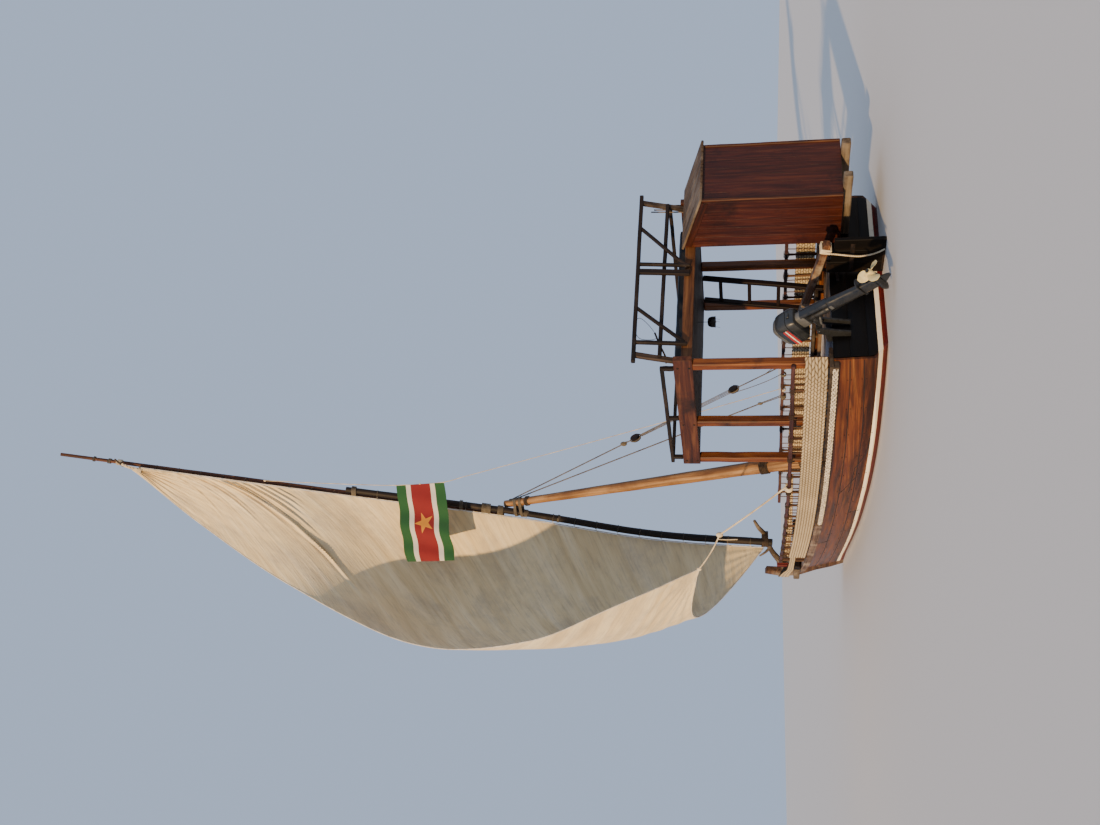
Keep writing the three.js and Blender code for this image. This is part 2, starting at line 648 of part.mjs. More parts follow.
function roofDeck() {
  const half = SIDE_BEAM.inner - GAP;
  const { bottom, fore } = SIDE_BEAM;
  const underside = bottom + TENON + GAP;
  const boards = block(0, fore, -half, half, underside, ROOF_TOP);
  const beams = [0, fore - CROSS_BEAM.wide].map((x) => {
    return block(x, x + CROSS_BEAM.wide, -half, half, underside, CROSS_BEAM.top);
  });
  return join(boards, ...beams);
}

function roofRail() {
  const y = (SIDE_BEAM.inner + SIDE_BEAM.outer) / 2;
  const { z, deep, wide, stub, stubs } = ROOF_RAIL;
  const foreX = SIDE_BEAM.fore - CROSS_BEAM.wide / 2;
  const stubAt = (x, across, foot) => block(x - stub, x + stub, across - stub, across + stub, foot + GAP, z);
  const pieces = [timber(at(foreX, -y, z), at(foreX, y, z), wide, deep), stubAt(foreX, 0, CROSS_BEAM.top)];
  for (const [, side] of SIDES) {
    pieces.push(timber(at(stubs[0] - stub, side * y, z), at(foreX + wide / 2, side * y, z), wide, deep));
    pieces.push(...stubs.map((x) => stubAt(x, side * y, SIDE_BEAM.top)));
  }
  return join(...pieces);
}

function seatBack() {
  const { foot, top, topRise, middle, middleX, half, thick, lean, ends, uprights, braces } = SEAT_BACK;
  const { braceWide, braceFoot } = SEAT_BACK;
  const on = (y, z) => at(-thick / 2 - GAP - (z - foot) * lean, y, z);
  const head = (y) => on(y, top - topRise * y / half);
  const pieces = [
    timber(head(-half), head(half), thick, thick),
    timber(at(middleX, -ends.y, middle), at(middleX, ends.y, middle), thick, thick),
    ...uprights.map(([y, wide]) => timber(on(y, foot), head(y), wide, thick)),
    ...braces.map(([low, high]) => timber(on(low, foot + braceFoot), head(high), braceWide, braceWide)),
    ...[ends.y, -ends.y].map((y) => timber(at(ends.footX, y, ROOF_TOP), head(y), ends.wide, thick)),
  ];
  const under = (fore, bottom, below) => {
    return block(-GAP, fore + GAP, -SIDE_BEAM.inner, SIDE_BEAM.inner, bottom, below + GAP);
  };
  const roof = under(SIDE_BEAM.fore, SIDE_BEAM.bottom, ROOF_TOP);
  return cut(join(...pieces), roof, under(CROSS_BEAM.wide, ROOF_TOP, CROSS_BEAM.top));
}

function ladder() {
  const { foot, head, stiles, wide, deep, rungs, rungThick, rungHigh } = LADDER;
  const pieces = stiles.map((x) => timber(at(x, ...foot), at(x, ...head), wide, deep));
  for (const z of rungs) {
    const y = foot[0] + (head[0] - foot[0]) * (z - foot[1]) / (head[1] - foot[1]);
    const [thick, high] = [rungThick / 2, rungHigh / 2];
    pieces.push(block(stiles[0], stiles[1], y - thick, y + thick, z - high, z + high));
  }
  return join(...pieces);
}

function lamp() {
  const { x, z, radius, high, wire, shade } = LAMP;
  const cover = turned(shade.map(([r, rise]) => [r * radius, z + rise * high]), 20);
  const cord = rod(at(0, 0, z + high - TENON), at(0, 0, SIDE_BEAM.bottom + TENON), wire);
  return join(cover, cord).translate(x, 0, 0);
}

for (const [name, side] of SIDES) place(`${name}_canopy_side`, canopySide(side), POST_WOOD);
place('roof_deck', roofDeck(), DARK_WOOD);
place('roof_rail', roofRail(), POST_WOOD);
place('back_railing', seatBack(), POST_WOOD);
place('roof_mattress', block(ROOF_MATTRESS.from, ROOF_MATTRESS.to, -ROOF_MATTRESS.half, ROOF_MATTRESS.half,
  ROOF_TOP + GAP, ROOF_TOP + ROOF_MATTRESS.high), CUSHION_CLOTH);
place('ladder', ladder(), DARK_WOOD);
place('lamp', lamp(), BLACK_PAINT);

// Closet
function closetRoofZ(x) {
  const { aft, fore, roofAft, roofFore } = CLOSET;
  return roofAft + (roofFore - roofAft) * (x - aft) / (fore - aft);
}

function closetSide(y0, y1) {
  const { aft, fore, wall, bottom } = CLOSET;
  const [from, to] = [aft + wall + GAP, fore - wall - GAP];
  const foot = bottom + GAP;
  const outline = [[from, foot], [to, foot], [to, closetRoofZ(to) - GAP], [from, closetRoofZ(from) - GAP]];
  return plateXZ(outline, y0, y1);
}

function closetFloor() {
  const { aft, fore, wall, port, starboard, bottom, floorThick, beams, beamWide, beamDeep, beamEnd } = CLOSET;
  const inset = wall + GAP;
  const [low, high] = [bottom - TENON, bottom + floorThick];
  const floor = block(aft + inset, fore - inset, starboard + inset, port - inset, low, high);
  const half = beamWide / 2;
  const carriers = beams.map((y) => block(beamEnd, -GAP, y - half, y + half, bottom - beamDeep, bottom));
  return join(floor, ...carriers);
}

function closetFront() {
  const { fore, wall, port, starboard, bottom } = CLOSET;
  const { inner, outer, clear, bottom: sill, top } = CLOSET_DOOR;
  const whole = block(fore - wall, fore, starboard, port, bottom + GAP, closetRoofZ(fore - wall) - GAP);
  const doorway = block(fore - 2 * wall, fore + wall, outer - clear, inner + clear,
    sill - clear, top + clear);
  return cut(whole, doorway);
}

function closetAftWall() {
  const { aft, wall, port, starboard, bottom } = CLOSET;
  return block(aft, aft + wall, starboard, port, bottom + GAP, closetRoofZ(aft) - GAP);
}

function closetDoor() {
  const { inner, outer, bottom, top, thick, setBack } = CLOSET_DOOR;
  const face = CLOSET.fore - setBack;
  return block(face - thick, face, outer, inner, bottom, top);
}

function closetRoof() {
  const { aft, fore, port, starboard, thick } = CLOSET_ROOF;
  const [low, high] = [closetRoofZ(aft), closetRoofZ(fore)];
  return plateXZ([[aft, low], [fore, high], [fore, high + thick], [aft, low + thick]], starboard, port);
}

place('closet_floor', closetFloor(), DECK_WOOD);
place('closet_port_wall', closetSide(CLOSET.port - CLOSET.wall, CLOSET.port), CLOSET_WOOD);
place('closet_starboard_wall', closetSide(CLOSET.starboard, CLOSET.starboard + CLOSET.wall), CLOSET_WOOD);
place('closet_aft_wall', closetAftWall(), CLOSET_WOOD);
place('closet_front', closetFront(), CLOSET_WOOD);
place('closet_door', closetDoor(), CLOSET_WOOD);
place('closet_roof', closetRoof(), DECK_WOOD);

// Mast and stays
function mast() {
  const start = MAST.footZ - MAST.headRadius;
  const path = (t) => mastAt(start + (MAST.headZ - start) * t);
  const radius = (t) => MAST.footRadius + (MAST.headRadius - MAST.footRadius) * t;
  const { footX, footZ, stepLong, stepWide } = MAST;
  const underStep = block(footX - stepLong, footX + stepLong, -stepWide, stepWide, 0, footZ + GAP);
  return cut(pole(path, radius, 16, 6), underStep);
}

function stay({ head, foot }) {
  const top = mastAt(head).add(at(0, -MAST.headRadius - STAY_RADIUS - STAY_CLEAR, 0));
  return rod(top, at(...foot), STAY_RADIUS, STAY_RADIUS, 8);
}

place('mast', mast(), SPAR_WOOD);
for (const line of STAYS) place(line.name, stay(line), ROPE);

// Yard, sail and flag
const yardLine = new THREE.CatmullRomCurve3(YARD_POINTS.map(([x, z]) => at(x, YARD_Y, z)));

function yardPole({ from, to, offset, foot, head }) {
  const path = (t) => yardLine.getPointAt(from + (to - from) * t).add(at(offset, 0, 0));
  return pole(path, (t) => foot + (head - foot) * t, 12, 10);
}

// A point on the sail's middle surface: luff is a share of the yard, share runs from luff to leech
function sailPoint(luff, share) {
  const row = (name) => fair(SAIL_ROWS, 'luff', name, luff);
  const tied = yardLine.getPointAt(luff).add(at(0, SAIL_OUT, 0));
  const chord = at(row('x'), row('y'), row('z')).sub(tied);
  const outward = at(chord.y, -chord.x, 0).normalize();
  const fullness = 4 * share * (1 - share);
  const point = tied.addScaledVector(chord, share).addScaledVector(outward, row('belly') * fullness);
  return point.add(at(0, 0, row('rise') * fullness));
}

function sail() {
  const [first, last] = [SAIL_ROWS[0].luff, SAIL_ROWS.at(-1).luff];
  const reach = 0.002;
  const within = THREE.MathUtils.clamp;
  const squareTo = (luff, share) => {
    const [low, high] = [-reach, reach].map((step) => sailPoint(within(luff + step, first, last), share));
    const [near, far] = [-reach, reach].map((step) => sailPoint(luff, within(share + step, 0, 1)));
    return high.sub(low).cross(far.sub(near)).normalize();
  };
  const skin = (offset) => steps(20, first, last).map((luff) => steps(12).map((share) => {
    return sailPoint(luff, share).addScaledVector(squareTo(luff, share), offset);
  }));
  return slab(skin(-SAIL_THICK / 2), skin(SAIL_THICK / 2));
}

function flag() {
  const { y, hoist, clear, fly, drop, thick, wave, downwind } = FLAG;
  const along = at(...downwind, 0).normalize();
  const across = at(along.y, -along.x, 0);
  const skin = (offset) => steps(10).map((share) => hoist.map(([x, z]) => {
    const point = at(x, y, z - drop * share).addScaledVector(along, clear + fly * share);
    return point.addScaledVector(across, wave * share * Math.sin(7 * share) + offset);
  }));
  return slab(skin(-thick / 2), skin(thick / 2));
}

function halyard() {
  const route = new THREE.CatmullRomCurve3(HALYARD.points.map((point) => at(...point)));
  return pole((t) => route.getPoint(t), () => HALYARD.radius, 8, 12);
}

for (const spar of YARD_POLES) place(spar.name, yardPole(spar), SPAR_WOOD);
place('sail', sail(), CANVAS);
place('flag', flag(), FLAG_CLOTH);
place('flag_halyard', halyard(), ROPE);

// Rudder, tiller and the rope that hangs from it
function tillerUnderside(x) {
  const { aftX, aftZ, foreX, foreZ, deep } = TILLER;
  const slope = (foreZ - aftZ) / (foreX - aftX);
  return aftZ + (x - aftX) * slope - deep / 2 * Math.hypot(1, slope) - GAP;
}

function rudder() {
  const { fore, notch, half, bottom, headAft, edge } = RUDDER;
  const notches = GUDGEONS.flatMap((gudgeon) => {
    const [high, low] = [gudgeon.top + GUDGEON.room, gudgeon.bottom - GUDGEON.room];
    return [[fore, high], [notch, high], [notch, low], [fore, low]];
  });
  const outline = [
    [fore, tillerUnderside(fore)], ...notches, [fore, bottom], ...edge, [headAft, tillerUnderside(headAft)],
  ];
  return plateXZ(outline, -half, half);
}

function tiller() {
  const { aftX, aftZ, foreX, foreZ, wide, deep } = TILLER;
  return timber(at(aftX, 0, aftZ), at(foreX, 0, foreZ), wide, deep);
}

function rope({ points, radius }) {
  const route = new THREE.CatmullRomCurve3(points.map((point) => at(...point)));
  const ring = new THREE.Shape().absarc(0, 0, radius, 0, 2 * Math.PI);
  const section = new THREE.Shape(ring.getPoints(4).slice(0, -1));
  return new THREE.ExtrudeGeometry(section, { extrudePath: route, steps: 26, bevelEnabled: false });
}

place('rudder', rudder(), DARK_WOOD);
place('tiller', tiller(), DECK_WOOD);
place('tiller_rope', rope(TILLER_ROPE), ROPE);

// The clamp bracket stands upright on the transom
function clampBracket() {
  const { x, y, z } = MOTOR;
  const { cheeks, cheekThick, pinHalf, pinRadius, hookBottom, jaw } = CLAMP;
  const hook = TRANSOM_THICK + GAP;
  const rail = HULL_LINES.rail.aft + GAP;
  const outline = [...CLAMP.outline, [hook, hookBottom], [hook, rail], [-GAP, rail]];
  const sides = cheeks.map((offset) => plateXZ(outline, y + offset, y + offset + cheekThick));
  const pin = rod(at(x, y - pinHalf, z), at(x, y + pinHalf, z), pinRadius);
  const screwPad = block(hook, jaw.fore, y - jaw.half, y + jaw.half, jaw.bottom, jaw.top);
  return join(...sides, pin, screwPad);
}

function swivelBracket() {
  const { hub, hubHalf, pinBore, tube, tubeBottom, tubeTop, shaftBore, arm } = SWIVEL;
  const x = MOTOR.steerX;
  const pieces = [
    rod(at(0, -hubHalf, 0), at(0, hubHalf, 0), hub, hub, 20),
    block(arm.aft, arm.fore, -arm.half, arm.half, arm.bottom, arm.top),
    rod(at(x, 0, tubeBottom), at(x, 0, tubeTop), tube, tube, 20),
  ];
  const pin = rod(at(0, -60, 0), at(0, 60, 0), pinBore);
  const bore = rod(at(x, 0, tubeBottom - 30), at(x, 0, 20), shaftBore);
  return cut(join(...pieces), pin, bore);
}

// A six-sided section of the leg's casing
function casingSection([z, fore, aft, half]) {
  const x = MOTOR.steerX;
  const [front, back] = LEG.corners;
  const plan = [
    [fore, 0], [fore - front, half], [aft + back, half], [aft, 0], [aft + back, -half], [fore - front, -half],
  ];
  return plan.map(([along, across]) => at(x + along, across, z));
}

function motorLeg() {
  const x = MOTOR.steerX;
  const { neckFore, neckAft, neckHalf, neckBottom, plateZ, plateThick, noseX, bullet, bulletRadius } = LEG;
  const gearcase = pole((t) => at(noseX - bullet * t, 0, MOTOR.shaftZ),
    (t) => bulletRadius * Math.min(1, 0.25 + 2.5 * t), 14, 8);
  return join(
    rod(at(x, 0, LEG.sections[0][0] - TENON), at(x, 0, 20), LEG.shaft),
    block(x - neckAft, x + neckFore, -neckHalf, neckHalf, neckBottom, COWL.bottom - GAP),
    column(LEG.housing.map(casingSection)),
    column(LEG.sections.map(casingSection)),
    plateXY(LEG.plate, plateZ, plateZ + plateThick),
    gearcase,
    plateXZ(LEG.skeg, -6, 6),
  );
}

function cowl() {
  const { outline, bevel, half, bottom } = COWL;
  const middle = new THREE.Vector2(...COWL.middle);
  const inset = outline.map(([x, z]) => {
    const corner = new THREE.Vector2(x, z);
    const inward = middle.clone().sub(corner).normalize();
    return corner.addScaledVector(inward, bevel);
  });
  const settings = {
    depth: 2 * (half - bevel), bevelEnabled: true, bevelThickness: bevel, bevelSize: bevel, bevelSegments: 3,
  };
  const body = new THREE.ExtrudeGeometry(new THREE.Shape(inset), settings);
  body.applyMatrix4(new THREE.Matrix4().makeBasis(X_AXIS, Z_AXIS, Y_AXIS.clone().negate()));
  body.translate(0, half - bevel, 0);
  return cut(body, block(-500, 500, -500, 500, -200, bottom));
}

function propellerBlade() {
  const { radius, hub, from, to, pitch, chord, thick } = PROPELLER;
  const root = hub * 0.6;
  const skin = (offset) => steps(6).map((share) => steps(4, -1, 1).map((edge) => {
    const reach = root + (radius - root) * share;
    const twist = Math.atan(pitch / (2 * Math.PI * reach));
    const half = chord * Math.sqrt(Math.max(1 - (2 * share - 0.9) ** 2 * 0.8, 0.05)) / 2;
    const along = (from + to) / 2 + edge * half * Math.sin(twist) + offset;
    return at(along, edge * half * Math.cos(twist), reach);
  }));
  return slab(skin(-thick / 2), skin(thick / 2));
}

function propeller() {
  const { hub, from, to, blades } = PROPELLER;
  const boss = rod(at(from, 0, 0), at(to, 0, 0), hub, hub * 0.8);
  const fan = steps(blades - 1, 0, blades - 1).map((i) => propellerBlade().rotateX(2 * Math.PI * i / blades));
  return join(boss, ...fan).translate(0, 0, MOTOR.shaftZ);
}

const motor = new THREE.Group();
motor.position.set(MOTOR.x, MOTOR.y, MOTOR.z);
motor.rotation.y = THREE.MathUtils.degToRad(MOTOR.tilt);
boat.add(motor);
place('clamp_bracket', clampBracket(), CAST_ALLOY);
place('swivel_bracket', swivelBracket(), CAST_ALLOY, motor);
place('motor_leg', motorLeg(), BLACK_PAINT, motor);
place('motor_cowl', cowl(), BLACK_PAINT, motor);
place('propeller', propeller(), PALE_ENAMEL, motor);

export default boat;
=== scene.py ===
"""Looks of the sailing dhow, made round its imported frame.

Lengths are metres. Stations are measured forward from the transom, as on the boat's drawing, and
every mesh is moved by MIDDLE at the end, so that the frame's origin is at the middle of the waterline.
"""

import math

import bmesh
import bpy
import numpy as np
from mathutils import Matrix, Vector


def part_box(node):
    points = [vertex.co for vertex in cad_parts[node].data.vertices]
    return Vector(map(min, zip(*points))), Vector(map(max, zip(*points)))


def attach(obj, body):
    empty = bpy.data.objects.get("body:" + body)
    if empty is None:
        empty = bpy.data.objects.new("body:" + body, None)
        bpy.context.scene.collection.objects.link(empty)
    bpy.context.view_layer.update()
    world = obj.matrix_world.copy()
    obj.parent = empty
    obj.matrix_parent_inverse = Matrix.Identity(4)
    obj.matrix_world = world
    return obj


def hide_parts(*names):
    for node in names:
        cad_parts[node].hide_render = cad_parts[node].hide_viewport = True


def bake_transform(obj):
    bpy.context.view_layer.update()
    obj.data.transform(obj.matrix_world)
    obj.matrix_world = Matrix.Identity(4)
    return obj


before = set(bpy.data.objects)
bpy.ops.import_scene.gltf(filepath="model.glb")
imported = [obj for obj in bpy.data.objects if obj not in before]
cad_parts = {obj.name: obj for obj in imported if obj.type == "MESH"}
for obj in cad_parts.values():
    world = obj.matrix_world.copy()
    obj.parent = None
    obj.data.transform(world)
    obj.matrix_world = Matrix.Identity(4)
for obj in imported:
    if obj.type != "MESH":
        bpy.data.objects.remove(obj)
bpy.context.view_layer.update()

MIDDLE = 3.15
SIDES = {"port": 1, "starboard": -1}
AHEAD, TO_PORT, UPWARD = (1, 0, 0), (0, 1, 0), (0, 0, 1)


# Camera: where the photograph was taken from, with the picture stored on its side
EYE = (-8.45 - MIDDLE, 7.29, 1.2)
YAW, CLIMB, ROLL = math.radians(33.87), math.radians(10.65), math.radians(-0.32)
FOCAL_MM, SENSOR_MM, FARTHEST = 36.0, 36.0, 200.0


def add_camera():
    level = Vector((math.cos(YAW), -math.sin(YAW), 0))
    sideways = Vector((-math.sin(YAW), -math.cos(YAW), 0))
    upright = Vector((0, 0, 1))
    ahead = level * math.cos(CLIMB) + upright * math.sin(CLIMB)
    top = upright * math.cos(CLIMB) - level * math.sin(CLIMB)
    right = sideways * math.cos(ROLL) + top * math.sin(ROLL)
    up = top * math.cos(ROLL) - sideways * math.sin(ROLL)
    data = bpy.data.cameras.new("camera")
    data.lens = FOCAL_MM
    data.sensor_width = SENSOR_MM
    data.clip_end = FARTHEST
    camera = bpy.data.objects.new("camera", data)
    bpy.context.collection.objects.link(camera)
    axes = Matrix((-up, right, -ahead)).transposed().to_4x4()
    camera.matrix_world = Matrix.Translation(EYE) @ axes
    bpy.context.scene.camera = camera


def unit(vectors):
    vectors = np.asarray(vectors, float)
    return vectors / np.linalg.norm(vectors, axis=-1, keepdims=True)


def grid(*parts):
    """Points or values of which each part is given once along the axes where it doesn't change."""
    return np.stack(np.broadcast_arrays(*[np.asarray(values, float) for values in parts]), axis=-1)


def steps_along(path):
    lengths = np.linalg.norm(np.diff(path, axis=0), axis=1)
    return np.concatenate([[0.0], np.cumsum(lengths)])


def resample(path, count):
    """The same line with evenly spaced points."""
    path = np.asarray(path, float)
    place = steps_along(path)
    wanted = np.linspace(0, place[-1], count)
    return np.stack([np.interp(wanted, place, path[:, k]) for k in range(3)], axis=1)


def curve(points, count=40):
    """A smooth line through a few points, as the drawing's curves are made."""
    p = np.asarray(points, float)
    p = np.vstack([2 * p[0] - p[1], p, 2 * p[-1] - p[-2]])
    line = []
    for a, b, c, d in zip(p[:-3], p[1:-2], p[2:-1], p[3:]):
        gaps = [max(np.linalg.norm(v) ** 0.5, 1e-4) for v in (b - a, c - b, d - c)]
        slope_b = ((b - a) / gaps[0] - (c - a) / (gaps[0] + gaps[1]) + (c - b) / gaps[1]) * gaps[1]
        slope_c = ((c - b) / gaps[1] - (d - b) / (gaps[1] + gaps[2]) + (d - c) / gaps[2]) * gaps[1]
        t = np.linspace(0, 1, 24, endpoint=False)[:, None]
        bend = 2 * b - 2 * c + slope_b + slope_c
        line.append(b + slope_b * t + (3 * c - 3 * b - 2 * slope_b - slope_c) * t**2 + bend * t**3)
    return resample(np.vstack(line + [p[-2:-1]]), count)


def sagging(start, end, sag, count=24):
    """A line that hangs between two points."""
    start, end = np.asarray(start, float), np.asarray(end, float)
    t = np.linspace(0, 1, count)[:, None]
    return start + (end - start) * t - np.array([0, 0, 4 * sag]) * t * (1 - t)


def ripple(x, y, seed, waves=5):
    """Smooth unevenness between about -1 and 1, the same on each run."""
    random = np.random.RandomState(seed)
    total = 0
    for _ in range(waves):
        a, b, c = random.uniform(0.4, 1.6), random.uniform(-1.6, 1.6), random.uniform(0, 6.28)
        total = total + np.sin(a * x + b * y + c)
    return total / waves


def circle(sides):
    """The points of a circle of radius 1."""
    turn = np.linspace(0, 2 * np.pi, sides, endpoint=False)
    return grid(np.cos(turn), np.sin(turn))


class Shape:
    """Boards, poles, ropes and skins gathered into one mesh.

    Each point carries its place in the grain and each board a tone of its own, for the materials."""

    def __init__(self, seed):
        self.random = np.random.RandomState(seed)
        self.points, self.grain, self.tone = [], [], []
        self.faces, self.finish = [], []
        self.total = 0

    def put(self, points, faces, grain, finish=0, tone=None, keep_grain=False):
        points = np.asarray(points, float).reshape(-1, 3)
        offset = 0 if keep_grain else self.random.uniform(0, 40, 3)
        self.points.append(points)
        self.grain.append(np.asarray(grain, float).reshape(-1, 3) + offset)
        self.tone.append(np.full(len(points), self.random.uniform() if tone is None else tone))
        self.faces += [[i + self.total for i in face] for face in faces]
        self.finish += [finish] * len(faces)
        self.total += len(points)

    def tube(self, rings, grain=None, **words):
        """A closed solid through rings of points, (stations, points, 3)."""
        stations, count = rings.shape[:2]
        row, column = np.meshgrid(np.arange(stations - 1), np.arange(count), indexing="ij")
        here, after = row * count + column, row * count + (column + 1) % count
        sides = np.stack([here, after, after + count, here + count], axis=-1).reshape(-1, 4).tolist()
        last = (stations - 1) * count
        ends = [list(range(count)), list(range(last, last + count))]
        self.put(rings, sides + ends, rings if grain is None else grain, **words)

    def loft(self, path, section, up=None, spin=None, **words):
        """A closed solid along path; section is one ring of (side, up) points, or one for each station."""
        path = np.asarray(path, float)
        rings = np.asarray(section, float)
        rings = np.broadcast_to(rings, (len(path),) + rings.shape[-2:])
        along = unit(np.gradient(path, axis=0))
        if up is None:
            up = np.array(UPWARD if abs(along[:, 2]).max() < 0.9 else TO_PORT, float)
            if abs((along * up).sum(1)).max() > 0.97:
                up = np.array(AHEAD, float)
        side = unit(np.cross(np.broadcast_to(up, along.shape), along))
        top = np.cross(along, side)
        if spin is not None:
            turn = np.asarray(spin)[:, None]
            side, top = side * np.cos(turn) + top * np.sin(turn), top * np.cos(turn) - side * np.sin(turn)
        points = path[:, None] + rings[..., :1] * side[:, None] + rings[..., 1:] * top[:, None]
        self.tube(points, grid(steps_along(path)[:, None], rings[..., 0], rings[..., 1]), **words)

    def beam(self, points, wide, thick, up=UPWARD, wear=0.004, wobble=0.0012, **words):
        """A squared timber with worn edges and the slight unevenness of hand tools."""
        points = np.asarray(points, float)
        length = steps_along(points)[-1]
        count = max(4, int(length / 0.16) + 1) if len(points) == 2 else len(points)
        middle = resample(points, count)
        inset = min(wear, length / 8)
        ends = [middle[0] + unit(middle[1] - middle[0]) * inset,
                middle[-1] + unit(middle[-2] - middle[-1]) * inset]
        path = np.vstack([middle[:1], ends[:1], middle[1:-1], ends[1:], middle[-1:]])
        w, t = wide / 2, thick / 2
        cut = min(wear, w * 0.6, t * 0.6)
        ring = np.array([[w, t - cut], [w - cut, t], [cut - w, t], [-w, t - cut],
                         [-w, cut - t], [cut - w, -t], [w - cut, -t], [w, cut - t]])
        scale = np.ones((len(path), 1, 2))
        scale[[0, -1]] = [1 - cut / w, 1 - cut / t]
        shift = self.random.uniform(-wobble, wobble, (len(path), 1, 2))
        shift[:2] = shift[-2:] = 0
        self.loft(path, ring * scale + shift, up=up, **words)

    def post(self, x, y, z, wide, thick, **words):
        """An upright timber from one height to another, wide across the boat and thick along it."""
        self.beam(grid(x, y, z), wide, thick, up=AHEAD, **words)

    def pole(self, path, radii, sides=16, rough=0.0, **words):
        """A round pole; radii is one number, or its values spread along the path."""
        path = np.asarray(path, float)
        spread = np.linspace(0, 1, np.size(radii))
        radii = np.interp(np.linspace(0, 1, len(path)), spread, np.atleast_1d(radii))
        turn = np.linspace(0, 2 * np.pi, sides, endpoint=False)
        uneven = 1 + rough * ripple(steps_along(path)[:, None] * 9, turn[None, :] * 2, sides)
        self.loft(path, circle(sides)[None] * (radii[:, None] * uneven)[..., None], **words)

    def rope(self, path, radius, lay=7.0, **words):
        """A laid rope of three strands."""
        length = steps_along(np.asarray(path, float))[-1]
        path = resample(path, max(8, int(length / (radius * lay) * 7)))
        turn = np.linspace(0, 2 * np.pi, 9, endpoint=False)
        lobes = radius * (0.95 + 0.1 * np.cos(3 * turn))
        ring = grid(lobes * np.cos(turn), lobes * np.sin(turn))
        self.loft(path, ring, spin=steps_along(path) * 2 * np.pi / (radius * lay), **words)
        return path

    def lashing(self, start, end, radius, cord, turns, **words):
        """A cord wound round the line from start to end."""
        start, end = np.asarray(start, float), np.asarray(end, float)
        along = unit(end - start)
        side = unit(np.cross(along, [0.3, 1.0, 0.2]))
        top = np.cross(along, side)
        t = np.linspace(0, 1, int(turns * 14) + 1)[:, None]
        angle = 2 * np.pi * turns * t
        path = start + (end - start) * t + (side * np.cos(angle) + top * np.sin(angle)) * (radius + cord)
        self.loft(path, circle(6) * cord, up=along, **words)

    def skin(self, face, back, grain=None, **words):
        """A closed skin between two grids of points of the same size, (rows, columns, 3)."""
        face, back = np.asarray(face, float), np.asarray(back, float)
        rows, columns = face.shape[:2]
        r, c = np.meshgrid(np.arange(rows - 1), np.arange(columns - 1), indexing="ij")
        a = (r * columns + c).ravel()
        top = np.stack([a, a + 1, a + columns + 1, a + columns], axis=1)
        size = rows * columns
        rim = np.concatenate([np.arange(columns), np.arange(1, rows) * columns + columns - 1,
                              (rows - 1) * columns + np.arange(columns - 2, -1, -1),
                              np.arange(rows - 2, 0, -1) * columns])
        after = np.roll(rim, -1)
        edge = np.stack([after, rim, rim + size, after + size], axis=1)
        if grain is None:
            across = np.array([steps_along(row) for row in face])
            lengthwise = np.array([steps_along(row) for row in np.swapaxes(face, 0, 1)]).T
            grain = grid(lengthwise, across, 0)
        faces = np.vstack([top, top[:, ::-1] + size, edge])
        self.put([face, back], faces.tolist(), [grain, grain], **words)

    def ball(self, centre, size, **words):
        """A rounded lump, such as a knot, a bolt head or a block's cheek; size is its half-lengths."""
        latitude = np.linspace(-np.pi / 2, np.pi / 2, 9)
        size = np.asarray(size, float)
        path = np.asarray(centre, float) + grid(0, 0, np.sin(latitude) * size[2])
        spread = np.maximum(np.cos(latitude), 0.02)[:, None, None]
        self.loft(path, (circle(12) * size[:2])[None] * spread, up=TO_PORT, **words)

    def make(self, name, looks, body="hull", replaces=(), smooth=35, move=None):
        """The gathered mesh as an object that rides on a body."""
        mesh = bpy.data.meshes.new(name)
        points = np.vstack(self.points)
        points = (move(points) if move else points) - [MIDDLE, 0, 0]
        mesh.from_pydata(points.tolist(), [], self.faces)
        for look in [looks] if isinstance(looks, str) else looks:
            mesh.materials.append(LOOKS[look])
        mesh.polygons.foreach_set("material_index", self.finish)
        worked(mesh, lambda work: bmesh.ops.recalc_face_normals(work, faces=work.faces))
        return finished(mesh, name, np.vstack(self.grain), np.concatenate(self.tone), smooth, body,
                        replaces)


def worked(mesh, change):
    """A change made to a mesh with the modelling tools."""
    work = bmesh.new()
    work.from_mesh(mesh)
    change(work)
    work.to_mesh(mesh)
    work.free()


def finished(mesh, name, grain, tone, smooth, body, replaces):
    """A mesh with grain, tones and sharp edges, as an object with its body and replaced nodes."""
    layers = (("grain", "FLOAT_VECTOR", "vector", grain), ("tone", "FLOAT", "value", tone))
    for key, kind, field, values in layers:
        mesh.attributes.new(key, kind, "POINT").data.foreach_set(field, values.astype(np.float32).ravel())
    mesh.polygons.foreach_set("use_smooth", [True] * len(mesh.polygons))
    mesh.set_sharp_from_angle(angle=math.radians(smooth))
    piece = bpy.data.objects.new(name, mesh)
    bpy.context.collection.objects.link(piece)
    if body:
        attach(piece, body)
    if replaces:
        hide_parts(*replaces)
    return piece


# Materials
def colour(code):
    """A colour for the shader from its usual six-digit code."""
    values = [int(code[i:i + 2], 16) / 255 for i in (0, 2, 4)]
    return tuple(v / 12.92 if v < 0.04045 else ((v + 0.055) / 1.055) ** 2.4 for v in values) + (1.0,)


